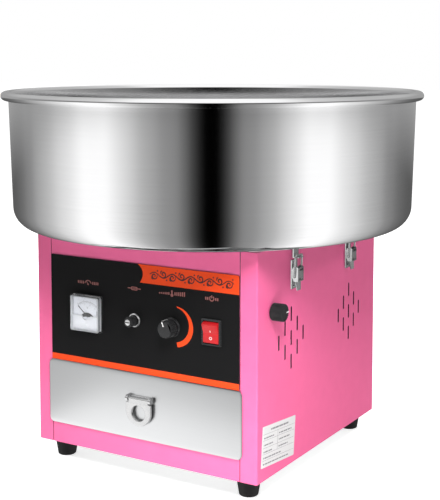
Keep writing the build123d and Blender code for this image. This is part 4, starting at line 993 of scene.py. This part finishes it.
def add_fuse():
    """Chrome ring, threaded barrel and nut behind the panel, and the screw-in cap."""
    base = high("control_panel").y
    face = low("control_panel").y
    centre = middle("fuse_holder")
    place = on_front(centre.x, centre.z, face)
    ring = [(6.15, 0), (8.0, 0), (8.0, 1.2), (7.2, 2.0), (6.6, 2.0), (6.15, 1.4)]
    bezel = lathe("fuse_bezel", rounded(ring, [0, 0.2, 0.5, 0.4, 0.3, 0.2], 4), place, 72)
    belongs(bezel, "cabinet", "bright_steel", "pull_steel", ["fuse_holder"])
    back = (face - high("fuse_holder").y) / MM
    barrel = lathe("fuse_barrel", threaded(6.0, 4.8, back, 0.9), place, 64)
    belongs(barrel, "cabinet", "black_plastic")
    sheet = (face - base) / MM
    hexagon = arc(0, 0, 8.0, 0, 300, 5)
    nut = slab("fuse_nut", [hexagon, circle(0, 0, 6.05)], (sheet - 4.6, sheet - 1.4), place, bevel=0.3)
    belongs(nut, "cabinet", "black_plastic")
    low_w = 2.3
    top_w = low_w + 10.5
    grip = slab("fuse_grip", [fluted(6.0, 0.45, 12, 6, 144)], (low_w, top_w), place,
                bevel=0.9, steps=4, angle=50)
    plug = [(0, -6), (4.2, -6), (4.4, -5.8), (4.4, low_w + 0.2), (0, low_w + 0.2)]
    stem = lathe("fuse_stem", plug, place, 48, closed=False)
    cap = merge("fuse_cap_body", [grip, stem])
    belongs(cap, "fuse_top", "black_plastic", replaces=["fuse_cap"])
    slot = rounded(rectangle(-2.9, 2.9, -0.5, 0.5), 0.3, 3)
    tip = slab("fuse_tip", [circle(0, 0, 3.5, 48), slot], (top_w - 0.2, top_w + 1.2), place, bevel=0.25)
    belongs(tip, "fuse_top", "bright_steel", "pull_steel")


def add_knob(name, node, body, place, skirted):
    """Fluted grip with chamfered end, optional glossy skirt, and a white index line."""
    low_w = 0.4
    top_w = 15.5
    radius = 9.9
    flutes = 24
    chamfer = 1.1 if skirted else 1.7
    parts = []
    if skirted:
        bore, edge, height = 4.5, 11.2, 2.8
        skirt = [(bore, low_w), (edge, low_w), (edge, low_w + 1.6),
                 (10.3, low_w + height), (bore, low_w + height)]
        parts.append(lathe(name + "_skirt", rounded(skirt, [0, 0.4, 1.2, 0.8, 0], 6), place, 96))
        low_w += 2.7
    outline = fluted(radius, 0.5, flutes, 2, 240, pi / flutes)
    parts.append(slab(name + "_grip", [outline], (low_w, top_w), place, bevel=chamfer, steps=3, angle=50))
    knob = merge(name + "_body", parts)
    belongs(knob, body, "black_plastic", replaces=[node])
    half = 0.65
    face = slab(name + "_line_face", [rectangle(3.6, radius - 0.9, -half, half)],
                (top_w - 0.1, top_w + 0.15), place)
    side = slab(name + "_line_side", [rectangle(radius - 0.6, radius + 0.3, -half, half)],
                (low_w + 0.6, top_w - 1.2), place)
    line = merge(name + "_index", [face, side])
    belongs(line, body, "label_white", "print_white")


def add_rocker():
    """Red rocker with two facets, and its I and O marks."""
    box_low, box_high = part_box("rocker_button")
    pivot = JOINTS["power_rock"]["pos_m"]
    centre = Vector((middle("rocker_button").x, pivot[1], pivot[2]))
    half = (box_high.x - box_low.x) / 2 / MM
    radius, waist, back, tilt = 12.6, 5.0, 3.0, radians(10)
    place = place_at(centre, (0, 0, 1), (0, -1, 0), (1, 0, 0)) @ Matrix.Rotation(tilt, 4, "Z")
    slope = tan(tilt)
    meet = (-slope * waist + (radius ** 2 * (1 + slope ** 2) - waist ** 2) ** 0.5) / (1 + slope ** 2)
    top = atan2(waist + slope * meet, meet) * 180 / pi
    bottom = atan2(-back, (radius ** 2 - back ** 2) ** 0.5) * 180 / pi
    outline = arc(0, 0, radius, bottom, top, 12) + [(0, waist)]
    outline += arc(0, 0, radius, 180 - top, 180 - bottom, 12)
    radii = [0.4] + [0] * 11 + [0.7, 3.0, 0.7] + [0] * 11 + [0.4]
    button = slab("rocker_body", [rounded(outline, radii, 5)], (-half, half), place,
                  bevel=0.5, steps=3, angle=40)
    belongs(button, "rocker", "red_plastic", replaces=["rocker_button"])

    def on_facet(side, reach):
        lean = tilt * side
        foot = Vector((reach * cos(lean), waist + reach * sin(lean), 0))
        turn = Matrix(((0, cos(lean), -sin(lean)), (0, sin(lean), cos(lean)), (1, 0, 0))).to_4x4()
        return place @ Matrix.Translation(foot) @ turn

    bar = slab("mark_on", [round_box(-0.4, 0.4, -1.2, 1.2, 0.3)], PRINT, on_facet(1, 2.6))
    ring = slab("mark_off", [circle(0, 0, 1.8, 36), circle(0, 0, 1.15, 36)], PRINT, on_facet(-1, -5.4))
    marks = merge("rocker_marks", [bar, ring])
    belongs(marks, "rocker", "label_white", "print_white")


# ---------------------------------------------------------------- rating label

LABEL_TURN = radians(-5.5)
# Heights of the ruled lines, and rows of dashes as (height, start, end)
RULES = (14.0, 7.2, -1.2, -8.0, -15.2)
ROWS = (((17.6, -20, 22),), ((9.8, -35, -12), (9.8, 0, 30)), ((2.0, -35, -14), (2.6, 0, 26)),
        ((-5.6, -35, -16), (-5.2, 0, 22)), ((-12.4, -35, 6),), ((-19.2, -35, 24),))
DASHES = (1.7, 2.9, 1.2, 2.2)


def add_label_print():
    """Ruled lines and grey dashes; no words."""
    centre = middle("rating_label")
    place = on_right(centre.y, centre.z, high("rating_label").x) @ Matrix.Rotation(LABEL_TURN, 4, "Z")
    sets = [[rectangle(-37, 37, v - 0.12, v + 0.12)] for v in RULES]
    sets.append([rectangle(-3.2, -2.9, -8.0, 14.0)])
    for i, row in enumerate(ROWS):
        for j, (v, u0, u1) in enumerate(row):
            at = u0
            k = 0
            while at < u1:
                long = DASHES[(i + 2 * j + k) % len(DASHES)]
                tall = 0.75 if i else 1.0
                sets.append([round_box(at, min(at + long, u1), v - tall, v + tall, 0.3, 2)])
                at += long + (0.55 if k % 3 else 1.3)
                k += 1
    label = printed("label_print", sets, PRINT, place)
    belongs(label, "cabinet", "label_white", "print_grey")


# ---------------------------------------------------------------- every CAD node's finish

for part in frame["record"]["subparts"]:
    node, slot = part["node"], part["material_slot"]
    paint(NODES[node], slot)
    NODES[node].visible_glossy = slot not in UNMIRRORED

add_camera()
add_world()
add_lights()
add_floor()
add_bowl()
add_drawer()
add_pull()
add_panel_print()
add_meter()
add_fuse()
panel_face = low("control_panel").y
side_face = high("right_side_panel").x
temperature = JOINTS["temperature_turn"]["pos_m"]
speed = JOINTS["speed_turn"]["pos_m"]
index_turn = Matrix.Rotation(radians(114), 4, "Z")
add_knob("temperature", "temperature_knob", "temperature_dial",
         on_front(temperature[0], temperature[2], panel_face) @ index_turn, True)
add_knob("speed", "speed_knob", "speed_dial", on_right(speed[1], speed[2], side_face), False)
add_rocker()
add_label_print()

bpy.context.scene.view_settings.view_transform = "Standard"
